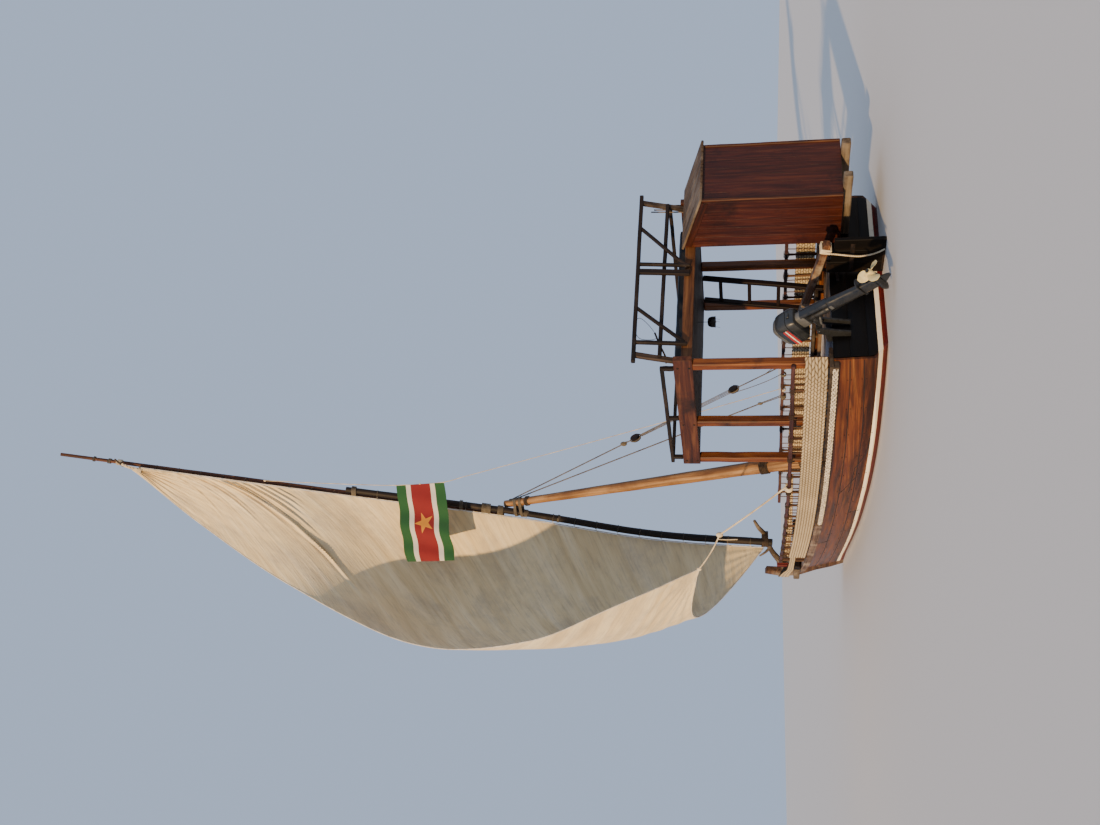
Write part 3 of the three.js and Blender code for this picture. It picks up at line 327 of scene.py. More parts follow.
class Look:
    """A procedural material. Its calls add nodes and return the socket that carries the result."""

    def __init__(self, name, **sockets):
        self.material = bpy.data.materials.new(name)
        self.material.use_nodes = True
        self.tree = self.material.node_tree
        self.shader = self.tree.nodes["Principled BSDF"]
        for socket, value in sockets.items():
            title = socket.replace("_", " ").title().replace("Ior", "IOR")
            self.shader.inputs[title].default_value = value

    def fill(self, socket, value):
        """Links a socket to another one, or sets it to a number or a colour's code."""
        if isinstance(value, bpy.types.NodeSocket):
            self.tree.links.new(value, socket)
        else:
            socket.default_value = colour(value) if isinstance(value, str) else value

    def node(self, kind, inputs, output=0, **settings):
        made = self.tree.nodes.new("ShaderNode" + kind)
        for key, value in settings.items():
            setattr(made, key, value)
        for key, value in inputs.items():
            self.fill(made.inputs[key], value)
        return made.outputs[output]

    def place(self, scale=(1, 1, 1), source="grain", turn=0.0):
        """Coordinates: "grain" is carried by the mesh, "object" is the boat's own frame."""
        if source == "object":
            vector = self.node("TexCoord", {}, "Object")
        else:
            vector = self.node("Attribute", {}, "Vector", attribute_name=source)
        if turn:
            vector = self.node("Mapping", {"Vector": vector, "Rotation": (0, 0, turn)})
        return self.node("Mapping", {"Vector": vector, "Scale": scale})

    def noise(self, vector, scale=1.0, detail=4.0, roughness=0.55, distortion=0.0):
        return self.node("TexNoise", {"Vector": vector, "Scale": scale, "Detail": detail,
                                      "Roughness": roughness, "Distortion": distortion}, "Fac")

    def spots(self, scale, detail=3.0, roughness=0.55):
        """Noise that runs on over the boat from piece to piece."""
        return self.noise(self.place(source="object"), scale, detail, roughness)

    def threads(self, scale, way):
        return self.node("TexWave", {"Vector": self.place(), "Scale": scale}, "Fac", bands_direction=way)

    def ramp(self, value, stops, hard=False):
        """Numbers or colours by the value; stops are places and what stands there."""
        made = self.tree.nodes.new("ShaderNodeValToRGB")
        made.color_ramp.interpolation = "CONSTANT" if hard else "LINEAR"
        for _ in stops[2:]:
            made.color_ramp.elements.new(0.5)
        for element, (place, tint) in zip(made.color_ramp.elements, stops):
            element.position = place
            element.color = colour(tint) if isinstance(tint, str) else (tint, tint, tint, 1)
        self.tree.links.new(value, made.inputs["Fac"])
        return made.outputs["Color"]

    def mix(self, amount, first, second, way="MIX"):
        # A mix node has inputs of the same names for each kind of data; these are a colour's
        inputs = {0: amount, 6: first, 7: second}
        return self.node("Mix", inputs, 2, data_type="RGBA", blend_type=way)

    def over(self, tint, other, value, low, high, most=1.0):
        """Another colour laid over where value passes from low to high."""
        return self.mix(self.ramp(value, [(low, 0.0), (high, most)]), tint, other)

    def shaded(self, tint, amount, value, *stops):
        """The colour darkened by a value."""
        return self.mix(amount, tint, self.ramp(value, stops), "MULTIPLY")

    def sum(self, way, *values):
        return self.node("Math", dict(enumerate(values)), operation=way)

    def along(self, where="z"):
        """A coordinate of the boat's own frame, its height if nothing else is said."""
        vector = self.node("TexCoord", {}, "Object")
        return self.node("SeparateXYZ", {"Vector": vector}, "xyz".index(where))

    def bump(self, height, strength, distance, below=None):
        inputs = {"Height": height, "Strength": strength, "Distance": distance}
        if below is not None:
            inputs["Normal"] = below
        return self.node("Bump", inputs)

    def finish(self, tint, roughness, normal=None):
        for name, value in (("Base Color", tint), ("Roughness", roughness), ("Normal", normal)):
            if value is not None:
                self.fill(self.shader.inputs[name], value)
        return self.material


GRAIN_STRETCH = (1.6, 26, 26)
FIBRE_STRETCH = (4.8, 156, 156)


def grain_tint(look, dark, middle, light, scale=1.0):
    """Wood colour: long streaks, fine fibres and a tone for each board. Returns colour and both."""
    streaks = look.noise(look.place([s * scale for s in GRAIN_STRETCH]), 1.0, 6.0, 0.62, 0.6)
    fibres = look.noise(look.place([s * scale for s in FIBRE_STRETCH]), 1.0, 3.0)
    tint = look.ramp(streaks, [(0.3, dark), (0.5, middle), (0.72, light)])
    tint = look.shaded(tint, 0.35, fibres, (0.3, 0.55), (0.7, 1.0))
    tone = look.node("Attribute", {}, "Fac", attribute_name="tone")
    return look.shaded(tint, 0.8, tone, (0.0, 0.72), (1.0, 1.12)), fibres, streaks


def wood(name, dark, middle, light, weathered, amount, roughness, scale=1.0, shine=0.3):
    look = Look(name, specular_ior_level=shine)
    tint, fibres, streaks = grain_tint(look, dark, middle, light, scale)
    if weathered:
        patches = look.spots(2.3, 5.0, 0.65)
        grey = look.shaded(weathered, 0.5, fibres, (0.2, 0.5), (0.8, 1.0))
        tint = look.over(tint, grey, patches, 0.62 - amount * 0.35, 0.78 - amount * 0.2)
    rough = look.sum("MULTIPLY_ADD", streaks, 0.25, roughness - 0.12)
    uneven = look.bump(look.noise(look.place((3, 12, 12)), 1.0, 3.0), 0.35, 0.004)
    return look.finish(tint, rough, look.bump(fibres, 0.5, 0.0015, uneven))


STRIPE = {"bottom": 0.044, "top": 0.088}


def hull_paint(name, above):
    """The hull's finish by height: red bottom, cream stripe, and oiled planks or black paint above."""
    look = Look(name, specular_ior_level=0.3 if above == "oiled" else 0.2)
    if above == "oiled":
        tint, fibres, streaks = grain_tint(look, "2f160a", "613214", "8a5829", 0.8)
        stain = look.noise(look.place((0.35, 0.35, 4.5), "object"), 2.0, 7.0, 0.72, 0.3)
        tint = look.over(tint, "1c0e07", stain, 0.47, 0.64, 0.8)
        low = look.ramp(look.along("z"), [(0.1, 0.85), (0.27, 0.0)])
        patchy = look.ramp(stain, [(0.38, 0.0), (0.55, 1.0)])
        tint = look.mix(look.sum("MULTIPLY", low, patchy), tint, "1e0d06")
        gloss = look.ramp(streaks, [(0.3, 0.34), (0.7, 0.52)])
    else:
        tint, fibres, streaks = grain_tint(look, "020202", "040303", "080605", 0.8)
        stain = look.noise(look.place((0.7, 0.7, 2.2), "object"), 3.0, 6.0, 0.7)
        tint = look.over(tint, "1c0f0a", stain, 0.56, 0.75, 0.4)
        gloss = look.ramp(stain, [(0.3, 0.3), (0.7, 0.55)])
    edge = look.sum("MULTIPLY", look.spots(9.0), 0.006)
    level = look.sum("SUBTRACT", look.along("z"), edge)
    worn = look.spots(14.0, 5.0, 0.7)
    cream = look.over("efe6cf", "8f7558", worn, 0.6, 0.75, 0.6)
    red = look.over("5e1710", "2f0d0a", worn, 0.45, 0.7, 0.7)
    for band, paint in (("top", cream), ("bottom", red)):
        tint = look.mix(look.sum("LESS_THAN", level, STRIPE[band]), tint, paint)
    tint = look.shaded(tint, 0.6, look.along("z"), (0.0, 0.25), (0.03, 1.0))
    uneven = look.bump(look.noise(look.place((2, 6, 6)), 1.0, 3.0), 0.3, 0.004)
    return look.finish(tint, gloss, look.bump(fibres, 0.35, 0.001, uneven))


def cloth(name, base, shade, thread, roughness, patches, sheen=0.0):
    look = Look(name, sheen_weight=sheen, sheen_roughness=0.5)
    weave = look.sum("MULTIPLY", *[look.threads(thread / 20, way) for way in ("X", "Y")])
    tint = look.over(base, shade, look.spots(patches, 6.0, 0.65), 0.35, 0.7)
    tint = look.shaded(tint, 0.18, weave, (0.0, 0.6), (0.6, 1.0))
    soft = look.bump(look.spots(14.0), 0.2, 0.004)
    return look.finish(tint, roughness, look.bump(weave, 0.25, 0.0006, soft))


def plain(name, base, worn, roughness, metallic, scale, bumps, coat=0.0):
    """Paint, enamel, metal or plastic with scuffs and grime."""
    look = Look(name, metallic=metallic, coat_weight=coat)
    grime = look.spots(scale, 6.0, 0.68)
    tint = look.over(base, worn, grime, 0.42, 0.68, 0.85)
    rough = look.ramp(grime, [(0.3, max(roughness - 0.12, 0.05)), (0.7, min(roughness + 0.18, 1))])
    return look.finish(tint, rough, look.bump(look.spots(scale * 9), bumps, 0.0008))


CREASE_TURN = 0.93


def canvas(name):
    """Sailcloth: cream cotton with water stains, mildew and faint streaks along its creases."""
    look = Look(name, sheen_weight=0.15, sheen_roughness=0.6)
    streaks = look.noise(look.place((0.5, 5.0, 1), turn=CREASE_TURN), 1.0, 6.0, 0.62, 0.3)
    fine = look.noise(look.place((3.0, 26.0, 1), turn=CREASE_TURN), 1.0, 4.0, 0.6)
    blots = look.noise(look.place(), 0.9, 7.0, 0.7)
    tint = look.ramp(streaks, [(0.3, "cfb98c"), (0.5, "e2cfa3"), (0.7, "efe0bb")])
    tint = look.over(tint, "a0978a", blots, 0.48, 0.72, 0.7)
    tint = look.over(tint, "a0937e", fine, 0.52, 0.74, 0.5)
    weave = look.sum("ADD", *[look.threads(60.0, way) for way in ("X", "Y")])
    soft = look.bump(streaks, 0.4, 0.03, look.bump(fine, 0.5, 0.012))
    return look.finish(tint, 0.9, look.bump(weave, 0.12, 0.0006, soft))


FLY, HOIST = 1.04, 0.706
FLAG_STRIPES = [(0.0, "0d4c21"), (0.2, "c9c5bd"), (0.3, "76070f"), (0.7, "c9c5bd"), (0.8, "0d4c21")]
STAR = {"colour": "bc7e1c", "tip": 0.145, "notch": 0.145 * 0.382}


def flag_cloth(name):
    """Five stripes, 2:1:4:1:2, and a five-pointed star, drawn from the flag's own coordinates."""
    look = Look(name, sheen_weight=0.2, sheen_roughness=0.5)
    place = look.node("Attribute", {}, "Vector", attribute_name="grain")
    x, y = [look.node("SeparateXYZ", {"Vector": place}, k) for k in (0, 1)]
    stripes = look.ramp(look.sum("DIVIDE", y, HOIST), FLAG_STRIPES, hard=True)
    dx, dy = look.sum("SUBTRACT", x, FLY / 2), look.sum("SUBTRACT", y, HOIST / 2)
    squares = [look.sum("MULTIPLY", value, value) for value in (dx, dy)]
    distance = look.sum("SQRT", look.sum("ADD", *squares))
    # The plane folded into one of the star's five points, and the side of its edge that a spot is on
    point = math.radians(72)
    angle = look.sum("ADD", look.sum("ARCTAN2", dx, dy), 20 * math.pi + point / 2)
    folded = look.sum("ABSOLUTE", look.sum("SUBTRACT", look.sum("MODULO", angle, point), point / 2))
    notch_x, notch_y = STAR["notch"] * math.cos(point / 2), STAR["notch"] * math.sin(point / 2)
    along = look.sum("SUBTRACT", look.sum("MULTIPLY", distance, look.sum("COSINE", folded)), STAR["tip"])
    across = look.sum("MULTIPLY", distance, look.sum("SINE", folded))
    side = look.sum("SUBTRACT", look.sum("MULTIPLY", across, notch_x - STAR["tip"]),
                    look.sum("MULTIPLY", along, notch_y))
    tint = look.mix(look.sum("GREATER_THAN", side, 0.0), stripes, STAR["colour"])
    dirt = look.noise(look.place(), 7.0, 5.0, 0.6)
    tint = look.shaded(tint, 0.35, dirt, (0.35, 0.72), (0.7, 1.0))
    weave = look.threads(120.0, "DIAGONAL")
    return look.finish(tint, 0.85, look.bump(weave, 0.15, 0.0005, look.bump(dirt, 0.3, 0.01)))


MAT_STITCH, MAT_ROW = 0.055, 0.0298


def mat_straw(name):
    """Plaited straw: rows of slanting stitches, each row slanting the other way from the last."""
    look = Look(name, specular_ior_level=0.2)
    place = look.place()
    along, up = [look.node("SeparateXYZ", {"Vector": place}, k) for k in (0, 1)]
    row = look.sum("DIVIDE", up, MAT_ROW)
    within = look.sum("FRACT", row)
    way = look.sum("SUBTRACT", look.sum("FLOORED_MODULO", look.sum("FLOOR", row), 2.0), 0.5)
    slant = look.sum("ADD", look.sum("DIVIDE", along, MAT_STITCH), look.sum("MULTIPLY", way, within))
    stitch = look.sum("ABSOLUTE", look.sum("SINE", look.sum("MULTIPLY", slant, math.pi)))
    swell = look.sum("SINE", look.sum("MULTIPLY", within, math.pi))
    shape = look.sum("MULTIPLY", look.sum("POWER", stitch, 0.6), look.sum("POWER", swell, 0.5))
    # Darker where the relief is low, in the hollows between stitches and rows: painted shade
    tint = look.ramp(shape, [(0.12, "5f513d"), (0.42, "a5957a"), (0.75, "cdbd9f")])
    fibres = look.noise(look.place((260, 40, 90)), 1.0, 3.0)
    tint = look.shaded(tint, 0.45, fibres, (0.3, 0.55), (0.6, 1.0))
    # Greyer towards the stern, where the mats are old
    aft = look.ramp(look.sum("MULTIPLY_ADD", look.along("x"), -0.16, 0.5), [(0.3, 0.15), (0.75, 0.6)])
    old = look.ramp(look.spots(3.0, 5.0, 0.6), [(0.35, 0.3), (0.7, 1.0)])
    grey = look.mix(1.0, tint, "a4a7ab", "MULTIPLY")
    tint = look.mix(look.sum("MULTIPLY", old, aft), tint, grey)
    return look.finish(tint, 0.95, look.bump(fibres, 0.6, 0.0015, look.bump(shape, 0.5, 0.003)))


# Dark, middle and light of the grain, the weathered colour and how much of it, roughness, and where they
# aren't the usual ones the grain's scale and the shine
WOODS = {
    "stem_wood": ("2a1a12", "4c3424", "75583f", "8d8072", 0.6, 0.75),
    "rail_wood": ("33261f", "635047", "897568", "a39587", 0.5, 0.8),
    # The aft rail's wood below is darkened as painted shade, for the mat's shadow on it
    "rail_dark_wood": ("15100d", "2b201a", "4a3b30", "5d5245", 0.4, 0.85),
    "handrail_wood": ("1d0f10", "3a2022", "5a3a38", "6b5650", 0.25, 0.65),
    "spindle_wood": ("2f1d14", "553a28", "80664a", None, 0, 0.8),
    "post_wood": ("35180a", "633513", "8c5626", "2a170d", 0.25, 0.5),
    "beam_wood": ("27120c", "4a2618", "6c452c", "1a0f0c", 0.35, 0.55),
    "worn_post_wood": ("1f1815", "3b302a", "5a4c42", "6f655c", 0.35, 0.75),
    "tan_wood": ("3a2012", "664226", "8a6440", "301c12", 0.3, 0.65),
    "red_wood": ("2c0a08", "5c1a16", "8a3a2c", None, 0, 0.6),
    # The next wood is near black partly as painted shade: the roof's underside and the bow beam's aft face
    "dark_wood": ("0a0605", "170d0a", "2a1913", None, 0, 0.6, 1.0, 0.2),
    "railing_wood": ("0b0706", "170f0d", "2c201b", "3d332e", 0.2, 0.7),
    "closet_wood": ("260e08", "3c1910", "542a1a", "1b0a07", 0.2, 0.42, 1.3),
    "closet_dark_wood": ("150705", "301409", "4b2112", None, 0, 0.45),
    "closet_trim": ("230f08", "40200d", "5f381b", None, 0, 0.5),
    "closet_roof_wood": ("2a1e16", "4f3e2f", "75624e", "7d7367", 0.35, 0.8),
    "grey_wood": ("30271f", "574b3e", "7d705d", "8b8073", 0.45, 0.85),
    "deck_wood": ("3a2a20", "64503f", "8b7660", "4a3a2e", 0.4, 0.8),
    "mast_wood": ("5e3e24", "8e6840", "b69168", "6c4a2e", 0.4, 0.55, 0.8),
    "yard_lower_wood": ("0b0908", "1a1412", "2e221d", "4a3d36", 0.15, 0.6),
    "yard_upper_wood": ("28150d", "512f1e", "82553a", "6e5240", 0.2, 0.65),
    "rudder_wood": ("040303", "090605", "17100b", "2e2015", 0.1, 0.6, 1.0, 0.15),
    "tiller_wood": ("2f1c12", "5c3a26", "8a6242", "b3a48d", 0.3, 0.65),
}
# Colour, its shade, threads, roughness, the size of its patches and the sheen
CLOTHS = {
    "rope_pale": ("e2d5b8", "a5957a", 2600, 0.95, 9.0),
    "rope_grey": ("6f675a", "3c362f", 2600, 0.95, 9.0),
    "rope_dark": ("4a3c30", "241c17", 2600, 0.95, 9.0),
    # The next rope's dark speckles are painted shade between its strands
    "rope_speckled": ("f0e8d6", "4f4537", 2600, 0.95, 55.0),
    "rope_white": ("e4dfd2", "b5ad9b", 2600, 0.9, 9.0),
    "cushion_cloth": ("85828c", "5c5964", 1500, 0.95, 4.0, 0.2),
    "tarp_cloth": ("121317", "24252a", 900, 0.6, 3.0),
}
# Colour, worn colour, roughness, metal, the size of its grime, bumps and clear coat
PAINTS = {
    "pitch": ("080504", "1d120c", 0.6, 0.0, 20.0, 0.1),
    "cowl_grey": ("1e2226", "2e3236", 0.38, 0.0, 9.0, 0.1, 0.3),
    "cowl_cap": ("4a4e52", "5d5f60", 0.45, 0.0, 11.0, 0.1, 0.2),
    "stripe_red": ("a8272a", "7d2426", 0.4, 0.0, 20.0, 0.05, 0.2),
    "stripe_white": ("d9d6cd", "a8a499", 0.4, 0.0, 20.0, 0.05, 0.2),
    "leg_black": ("101214", "222426", 0.3, 0.0, 14.0, 0.15, 0.3),
    "cream_enamel": ("e0d29a", "b9a66c", 0.4, 0.0, 16.0, 0.15, 0.3),
    "cast_metal": ("3a3d41", "1d1c1b", 0.42, 0.6, 22.0, 0.4),
    "black_iron": ("191718", "3b2a22", 0.6, 0.6, 18.0, 0.25),
    "lamp_enamel": ("0f0f11", "2b2826", 0.35, 0.0, 20.0, 0.1, 0.3),
    "bulb_glass": ("d8d4c4", "b9b4a0", 0.2, 0.0, 20.0, 0.0, 0.5),
}
LOOKS = {
    "hull_planks": hull_paint("hull_planks", "oiled"),
    "transom_paint": hull_paint("transom_paint", "black"),
    "canvas": canvas("canvas"),
    "flag_cloth": flag_cloth("flag_cloth"),
    "mat_straw": mat_straw("mat_straw"),
}
for maker, table in ((wood, WOODS), (cloth, CLOTHS), (plain, PAINTS)):
    LOOKS |= {name: maker(name, *values) for name, values in table.items()}


# Hull form, from the same lines as the frame: heights at transom and stem, and where each ends
LINES = {"rail": (0.5, 0.6, 6.5), "seam": (0.06, 0.06, 6.19), "bilge": (-0.15, -0.15, 6.02),
         "garboard": (-0.33, -0.33, 5.86), "keel": (-0.4, -0.4, 5.76)}
RAIL_Z, RAIL_END = LINES["rail"][0], LINES["rail"][2]
SHARES = np.array([0, 0.08, 0.2, 0.33, 0.45, 0.57, 0.7, 0.82, 0.92, 1])
KEEL_HALF = 0.04
HALF_BREADTHS = {
    "cap": [1.1, 1.17, 1.225, 1.195, 1.085, 0.92, 0.7, 0.47, 0.245, KEEL_HALF],
    "rail": [1.055, 1.155, 1.225, 1.195, 1.085, 0.92, 0.7, 0.47, 0.245, KEEL_HALF],
    "seam": [1.035, 1.125, 1.21, 1.17, 1.04, 0.88, 0.65, 0.41, 0.2, KEEL_HALF],
    "bilge": [0.62, 0.82, 0.98, 0.98, 0.86, 0.69, 0.47, 0.26, 0.105, KEEL_HALF],
    "garboard": [0.1, 0.26, 0.42, 0.46, 0.4, 0.3, 0.18, 0.09, 0.048, KEEL_HALF],
    "keel": [KEEL_HALF] * 10,
}
PLANK = 0.03


def fair(keys, values, wanted):
    """The drawing's smooth curve through a table's column."""
    keys, values = np.asarray(keys, float), np.asarray(values, float)
    wanted = np.asarray(wanted, float)
    before = np.maximum(np.arange(len(keys)) - 1, 0)
    after = np.minimum(np.arange(len(keys)) + 1, len(keys) - 1)
    slope = (values[after] - values[before]) / (keys[after] - keys[before])
    i = np.clip(np.searchsorted(keys, wanted, side="left") - 1, 0, len(keys) - 2)
    width = keys[i + 1] - keys[i]
    t = (wanted - keys[i]) / width
    rise = values[i + 1] - values[i]
    bend = (slope[i] * width - rise) * (1 - t) - (slope[i + 1] * width - rise) * t
    return values[i] + rise * t + t * (1 - t) * bend


def hull_point(line, share):
    """Points of a hull line on the port side, at shares of its length."""
    aft, fore, end = LINES[line]
    share = np.asarray(share, float)
    lift = 0.06 * np.clip(1 - share / 0.2, 0, 1) ** 2 if line == "seam" else 0.0
    half = fair(SHARES, HALF_BREADTHS[line], share)
    return grid(share * end, half, aft + (fore - aft) * share**3 + lift)


def between(upper, lower, share, level):
    """A point between two hull lines; level is 1 on the upper one."""
    high, low = hull_point(upper, share), hull_point(lower, share)
    return low + (high - low) * np.asarray(level, float)[..., None]


def mirrored(points, side):
    return np.asarray(points, float) * [1, side, 1]


def inside_half(station, height):
    """Half-breadth of the planking's inner face at a station and height."""
    rows = [hull_point(line, min(station / LINES[line][2], 1)) for line in LINES]
    heights = [row[2] for row in rows][::-1]
    halves = [row[1] for row in rows][::-1]
    return float(np.interp(height, heights, halves)) - PLANK


GROOVE, CUP = 0.012, 0.0015
PLANK_EDGE = np.array([0, 0, GROOVE, 0.25, 0.5, 0.75, 1 - GROOVE, 1, 1])
PLANK_SUNK = np.array([-0.006, -0.004, 0, CUP * 0.8, CUP, CUP * 0.8, 0, -0.004, -0.006])


def strake(shape, side, upper, lower, levels, shares):
    """One plank of the hull's skin. shares gives its two ends at its lower and upper edge."""
    low, high = levels
    run, across = np.linspace(0, 1, 46)[:, None], PLANK_EDGE[None, :]
    aft, fore = [start + (end - start) * across for start, end in shares]
    share = aft * (1 - run) + fore * run
    level = low + (high - low) * across + 0 * run
    outer = between(upper, lower, share, level)
    upwards = between(upper, lower, share, level + 0.01) - between(upper, lower, share, level - 0.01)
    normal = unit(np.cross(np.gradient(outer, axis=0), upwards))
    normal *= np.sign(normal[..., 1:2] + 1e-9)
    uneven = 0.0012 * ripple(outer[..., 0] * 6, outer[..., 2] * 30, int(low * 50) + 3)
    outer = outer + normal * (PLANK_SUNK[None, :, None] + uneven[..., None] - 0.001)
    inner = outer - normal * (PLANK - 0.004)
    shape.skin(mirrored(outer, side), mirrored(inner, side))


# Each plank of a topside: lower and upper level, and its two ends at its lower and upper edge
TOPSIDE_PLANKS = [
    ((0.0, 0.27), ((0, 0), (0.47, 0.47))),
    ((0.0, 0.27), ((0.472, 0.472), (1, 1))),
    ((0.27, 0.6), ((0, 0), (0.3, 0.36))),
    ((0.27, 0.6), ((0.302, 0.362), (1, 1))),
    ((0.6, 1.0), ((0, 0), (0.66, 0.66))),
    ((0.6, 1.0), ((0.662, 0.662), (1, 1))),
]
# Seams and butts filled with pitch, and the scarf joint amidships, as lines of (share, level)
PITCH_LINES = [
    [(0.003, 0.27), (0.994, 0.27)], [(0.003, 0.6), (0.994, 0.6)], [(0.471, 0.01), (0.471, 0.27)],
    [(0.301, 0.27), (0.361, 0.6)], [(0.661, 0.6), (0.661, 0.99)],
    [(0.17, 0.08), (0.22, 0.12), (0.27, 0.33), (0.36, 0.38)],
]
NAIL_LEVELS = (0.05, 0.22, 0.32, 0.56, 0.65, 0.93)
BOTTOM_STRAKES = (("seam", "bilge", 3), ("bilge", "garboard", 2), ("garboard", "keel", 1))


def caulking(shape, side):
    for line in PITCH_LINES:
        length = steps_along(np.array([(share * 6, level * 0.5, 0) for share, level in line]))[-1]
        route = resample([(share, level, 0) for share, level in line], max(4, int(length / 0.05)))
        path = mirrored(between("rail", "seam", route[:, 0], route[:, 1]), side)
        path[:, 2] += 0.0025 * ripple(route[:, 0] * 60, route[:, 1] * 9, 17)
        shape.pole(path - [0, side * 0.0025, 0], 0.0048, 6, finish=2)


def topsides():
    for name, side in SIDES.items():
        shape = Shape(11 + side)
        for levels, shares in TOPSIDE_PLANKS:
            strake(shape, side, "rail", "seam", levels, shares)
        caulking(shape, side)
        for share in np.arange(0.04, 0.97, 0.062):
            for level in NAIL_LEVELS:
                spot = mirrored(between("rail", "seam", share, level), side)
                shape.ball(spot + [0, side * 0.0012, 0], (0.006, 0.0022, 0.006), finish=1)
        shape.make(f"{name}_topside_planks", ["hull_planks", "black_iron", "pitch"],
                   replaces=[f"{name}_topside"])


def bottom():
    shape = Shape(5)
    for side in SIDES.values():
        for upper, lower, count in BOTTOM_STRAKES:
            for i in range(count):
                strake(shape, side, upper, lower, (i / count, (i + 1) / count), ((0, 0), (1, 1)))
    shape.make("bottom_planks", "hull_planks", replaces=["bottom_planking"])


TRANSOM_SEAMS = [-0.398, -0.29, -0.15, 0.02, 0.18, 0.345, 0.499]


def transom():
    """Horizontal boards across the stern, painted, with the rudder's iron gudgeons."""
    shape = Shape(21)
    heights, halves = [[hull_point(line, 0.0)[k] for line in LINES][::-1] for k in (2, 1)]
    groove = np.array([0.004, 0, 0, 0, 0, 0.004])[:, None]
    across = np.linspace(-1, 1, 25)[None, :]
    for low, high in zip(TRANSOM_SEAMS[:-1], TRANSOM_SEAMS[1:]):
        rows = np.linspace(low + 0.001, high - 0.001, 6)[:, None]
        half = np.interp(rows, heights, halves) - PLANK - 0.002
        face = grid(groove + 0.0008 * ripple(across * 6, rows * 40, 4), half * across, rows)
        back = face.copy()
        back[..., 0] = 0.034
        shape.skin(np.swapaxes(face, 0, 1), np.swapaxes(back, 0, 1))
    for z in (0.42, -0.28):
        shape.beam(grid((0.01, -0.04), 0, z), 0.05, 0.04, finish=1)
        for reach in (-0.1, 0.1):
            shape.beam(grid(-0.004, (0, reach), z), 0.006, 0.03, finish=1)
    shape.make("transom_boards", ["transom_paint", "black_iron"], replaces=["transom"])


def node_copy(node, name, look):
    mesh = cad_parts[node].data.copy()
    mesh.name = name
    mesh.materials.clear()
    mesh.materials.append(LOOKS[look])
    return mesh


def dressed(node, name, look, bevel, **words):
    """A frame node's own form with worn edges, as a piece that stands for it."""
    mesh = node_copy(node, name, look)

    def wear(work):
        bmesh.ops.remove_doubles(work, verts=work.verts, dist=1e-5)
        bmesh.ops.dissolve_limit(work, angle_limit=0.02, verts=work.verts, edges=work.edges)
        bmesh.ops.recalc_face_normals(work, faces=work.faces)
        sharp = [edge for edge in work.edges if edge.is_manifold and edge.calc_face_angle(0) > 0.5]
        bmesh.ops.bevel(work, geom=sharp, offset=bevel, segments=2, profile=0.6, affect="EDGES",
                        clamp_overlap=True)

    worked(mesh, wear)
    return dress(mesh, name, node, **words)


def dress(mesh, name, node, slot, along="x", smooth=35):
    """Grain for a mesh that has none, then its body and the node that it stands for; slot is not used."""
    order = {"x": (0, 1, 2), "y": (1, 0, 2)}[along]
    points = vertex_array(mesh)
    return finished(mesh, name, points[:, order], np.full(len(points), 0.5), smooth, "hull", [node])


def vertex_array(mesh):
    points = np.zeros(len(mesh.vertices) * 3, np.float32)
    mesh.vertices.foreach_get("co", points)
    return points.reshape(-1, 3).astype(float)


# Rails, handrails and mats
RAIL_THICK, CAP_OUT, STRAKE_OUT = 0.035, 0.05, 0.049
HANDRAIL_Z, HANDRAIL_OUT, HANDRAIL_END = 0.845, 0.011, 0.83
SPINDLE_START, SPINDLE_STEP = 0.33, 0.375
MAT_OUT, MAT_END = 0.043, 0.752
CAP_RING = np.array([[1, -0.75], [0.97, -1], [-0.97, -1], [-1, -0.75], [-1, 0.75], [-0.97, 1], [0.97, 1],
                     [1, 0.75]])
STRAKE_RING = np.array([[1, -0.8], [0.85, -1], [-1, -1], [-1, 1], [0.85, 1], [1, 0.8]])


def cap_half(share):
    return fair(SHARES, HALF_BREADTHS["cap"], share)


def rail_path(shares, out, up, side):
    """A line along the rail cap, out from the cap's line and up from the planking's top edge."""
    points = hull_point("rail", shares)
    points[..., 1] = np.maximum(cap_half(shares) + out, KEEL_HALF / 2)
    points[..., 2] += up
    return mirrored(points, side)


def handrail_up(share):
    rise = hull_point("rail", share)[..., 2] - RAIL_Z
    return HANDRAIL_Z - RAIL_Z - rise / 2


def cap_inward(share):
    return 0.21 - 0.1 * np.clip((np.asarray(share) - 0.28) / 0.08, 0, 1)


def rails():
    """The rail caps, each of four boards end to end, and the rubbing strakes under them. Their aft halves
    take a darker wood, which is painted shade from the mat above.
    """
    shares = np.linspace(0, 0.995, 60)
    for name, side in SIDES.items():
        shape = Shape(31 + side)
        for start, end in ((0, 14), (14, 29), (29, 44), (44, 60)):
            run = shares[start:end]
            inner, outer = [rail_path(run, out, 0.0175, side) for out in (-cap_inward(run), CAP_OUT)]
            half = np.linalg.norm(outer - inner, axis=1) / 2
            ring = CAP_RING * grid(half, 0.0172)[:, None]
            # Finish 0, on the aft boards, is the darker wood: painted shade from the mat
            shape.loft((inner + outer) / 2, ring, finish=int(start >= 29))
        # The aft strake also takes the darker wood as painted shade; the fore strake is weathered wood
        for weathered, run in enumerate((shares[:29], shares[28:])):
            near = fair(SHARES, HALF_BREADTHS["rail"], run) - cap_half(run) + 0.003
            ring = STRAKE_RING * grid((STRAKE_OUT - near) / 2, 0.024)[:, None]
            path = rail_path(run, (near + STRAKE_OUT) / 2, -0.0255, side)
            shape.loft(path, ring * [side, 1], finish=weathered)
        shape.make(f"{name}_rail_cap", ["rail_dark_wood", "rail_wood"],
                   replaces=[f"{name}_rail"])
        rail_rope(name, side)


def rail_rope(name, side):
    """Pale rope plaited round the rubbing strake from the transom to amidships; its dark speckles are
    painted shade between the strands.
    """
    shape = Shape(41 + side)
    centre = rail_path(np.linspace(0.0012, 0.48, 900), 0.03, -0.017, side)
    for strand in range(3):
        turn = steps_along(centre) * 2 * np.pi / 0.17 + strand * 2 * np.pi / 3
        out = side * (0.021 + 0.006 * np.cos(2 * turn))
        shape.loft(centre + grid(0, out, 0.02 * np.sin(turn)), circle(7) * 0.0085)
    shape.make(f"{name}_rail_rope", "rope_speckled")


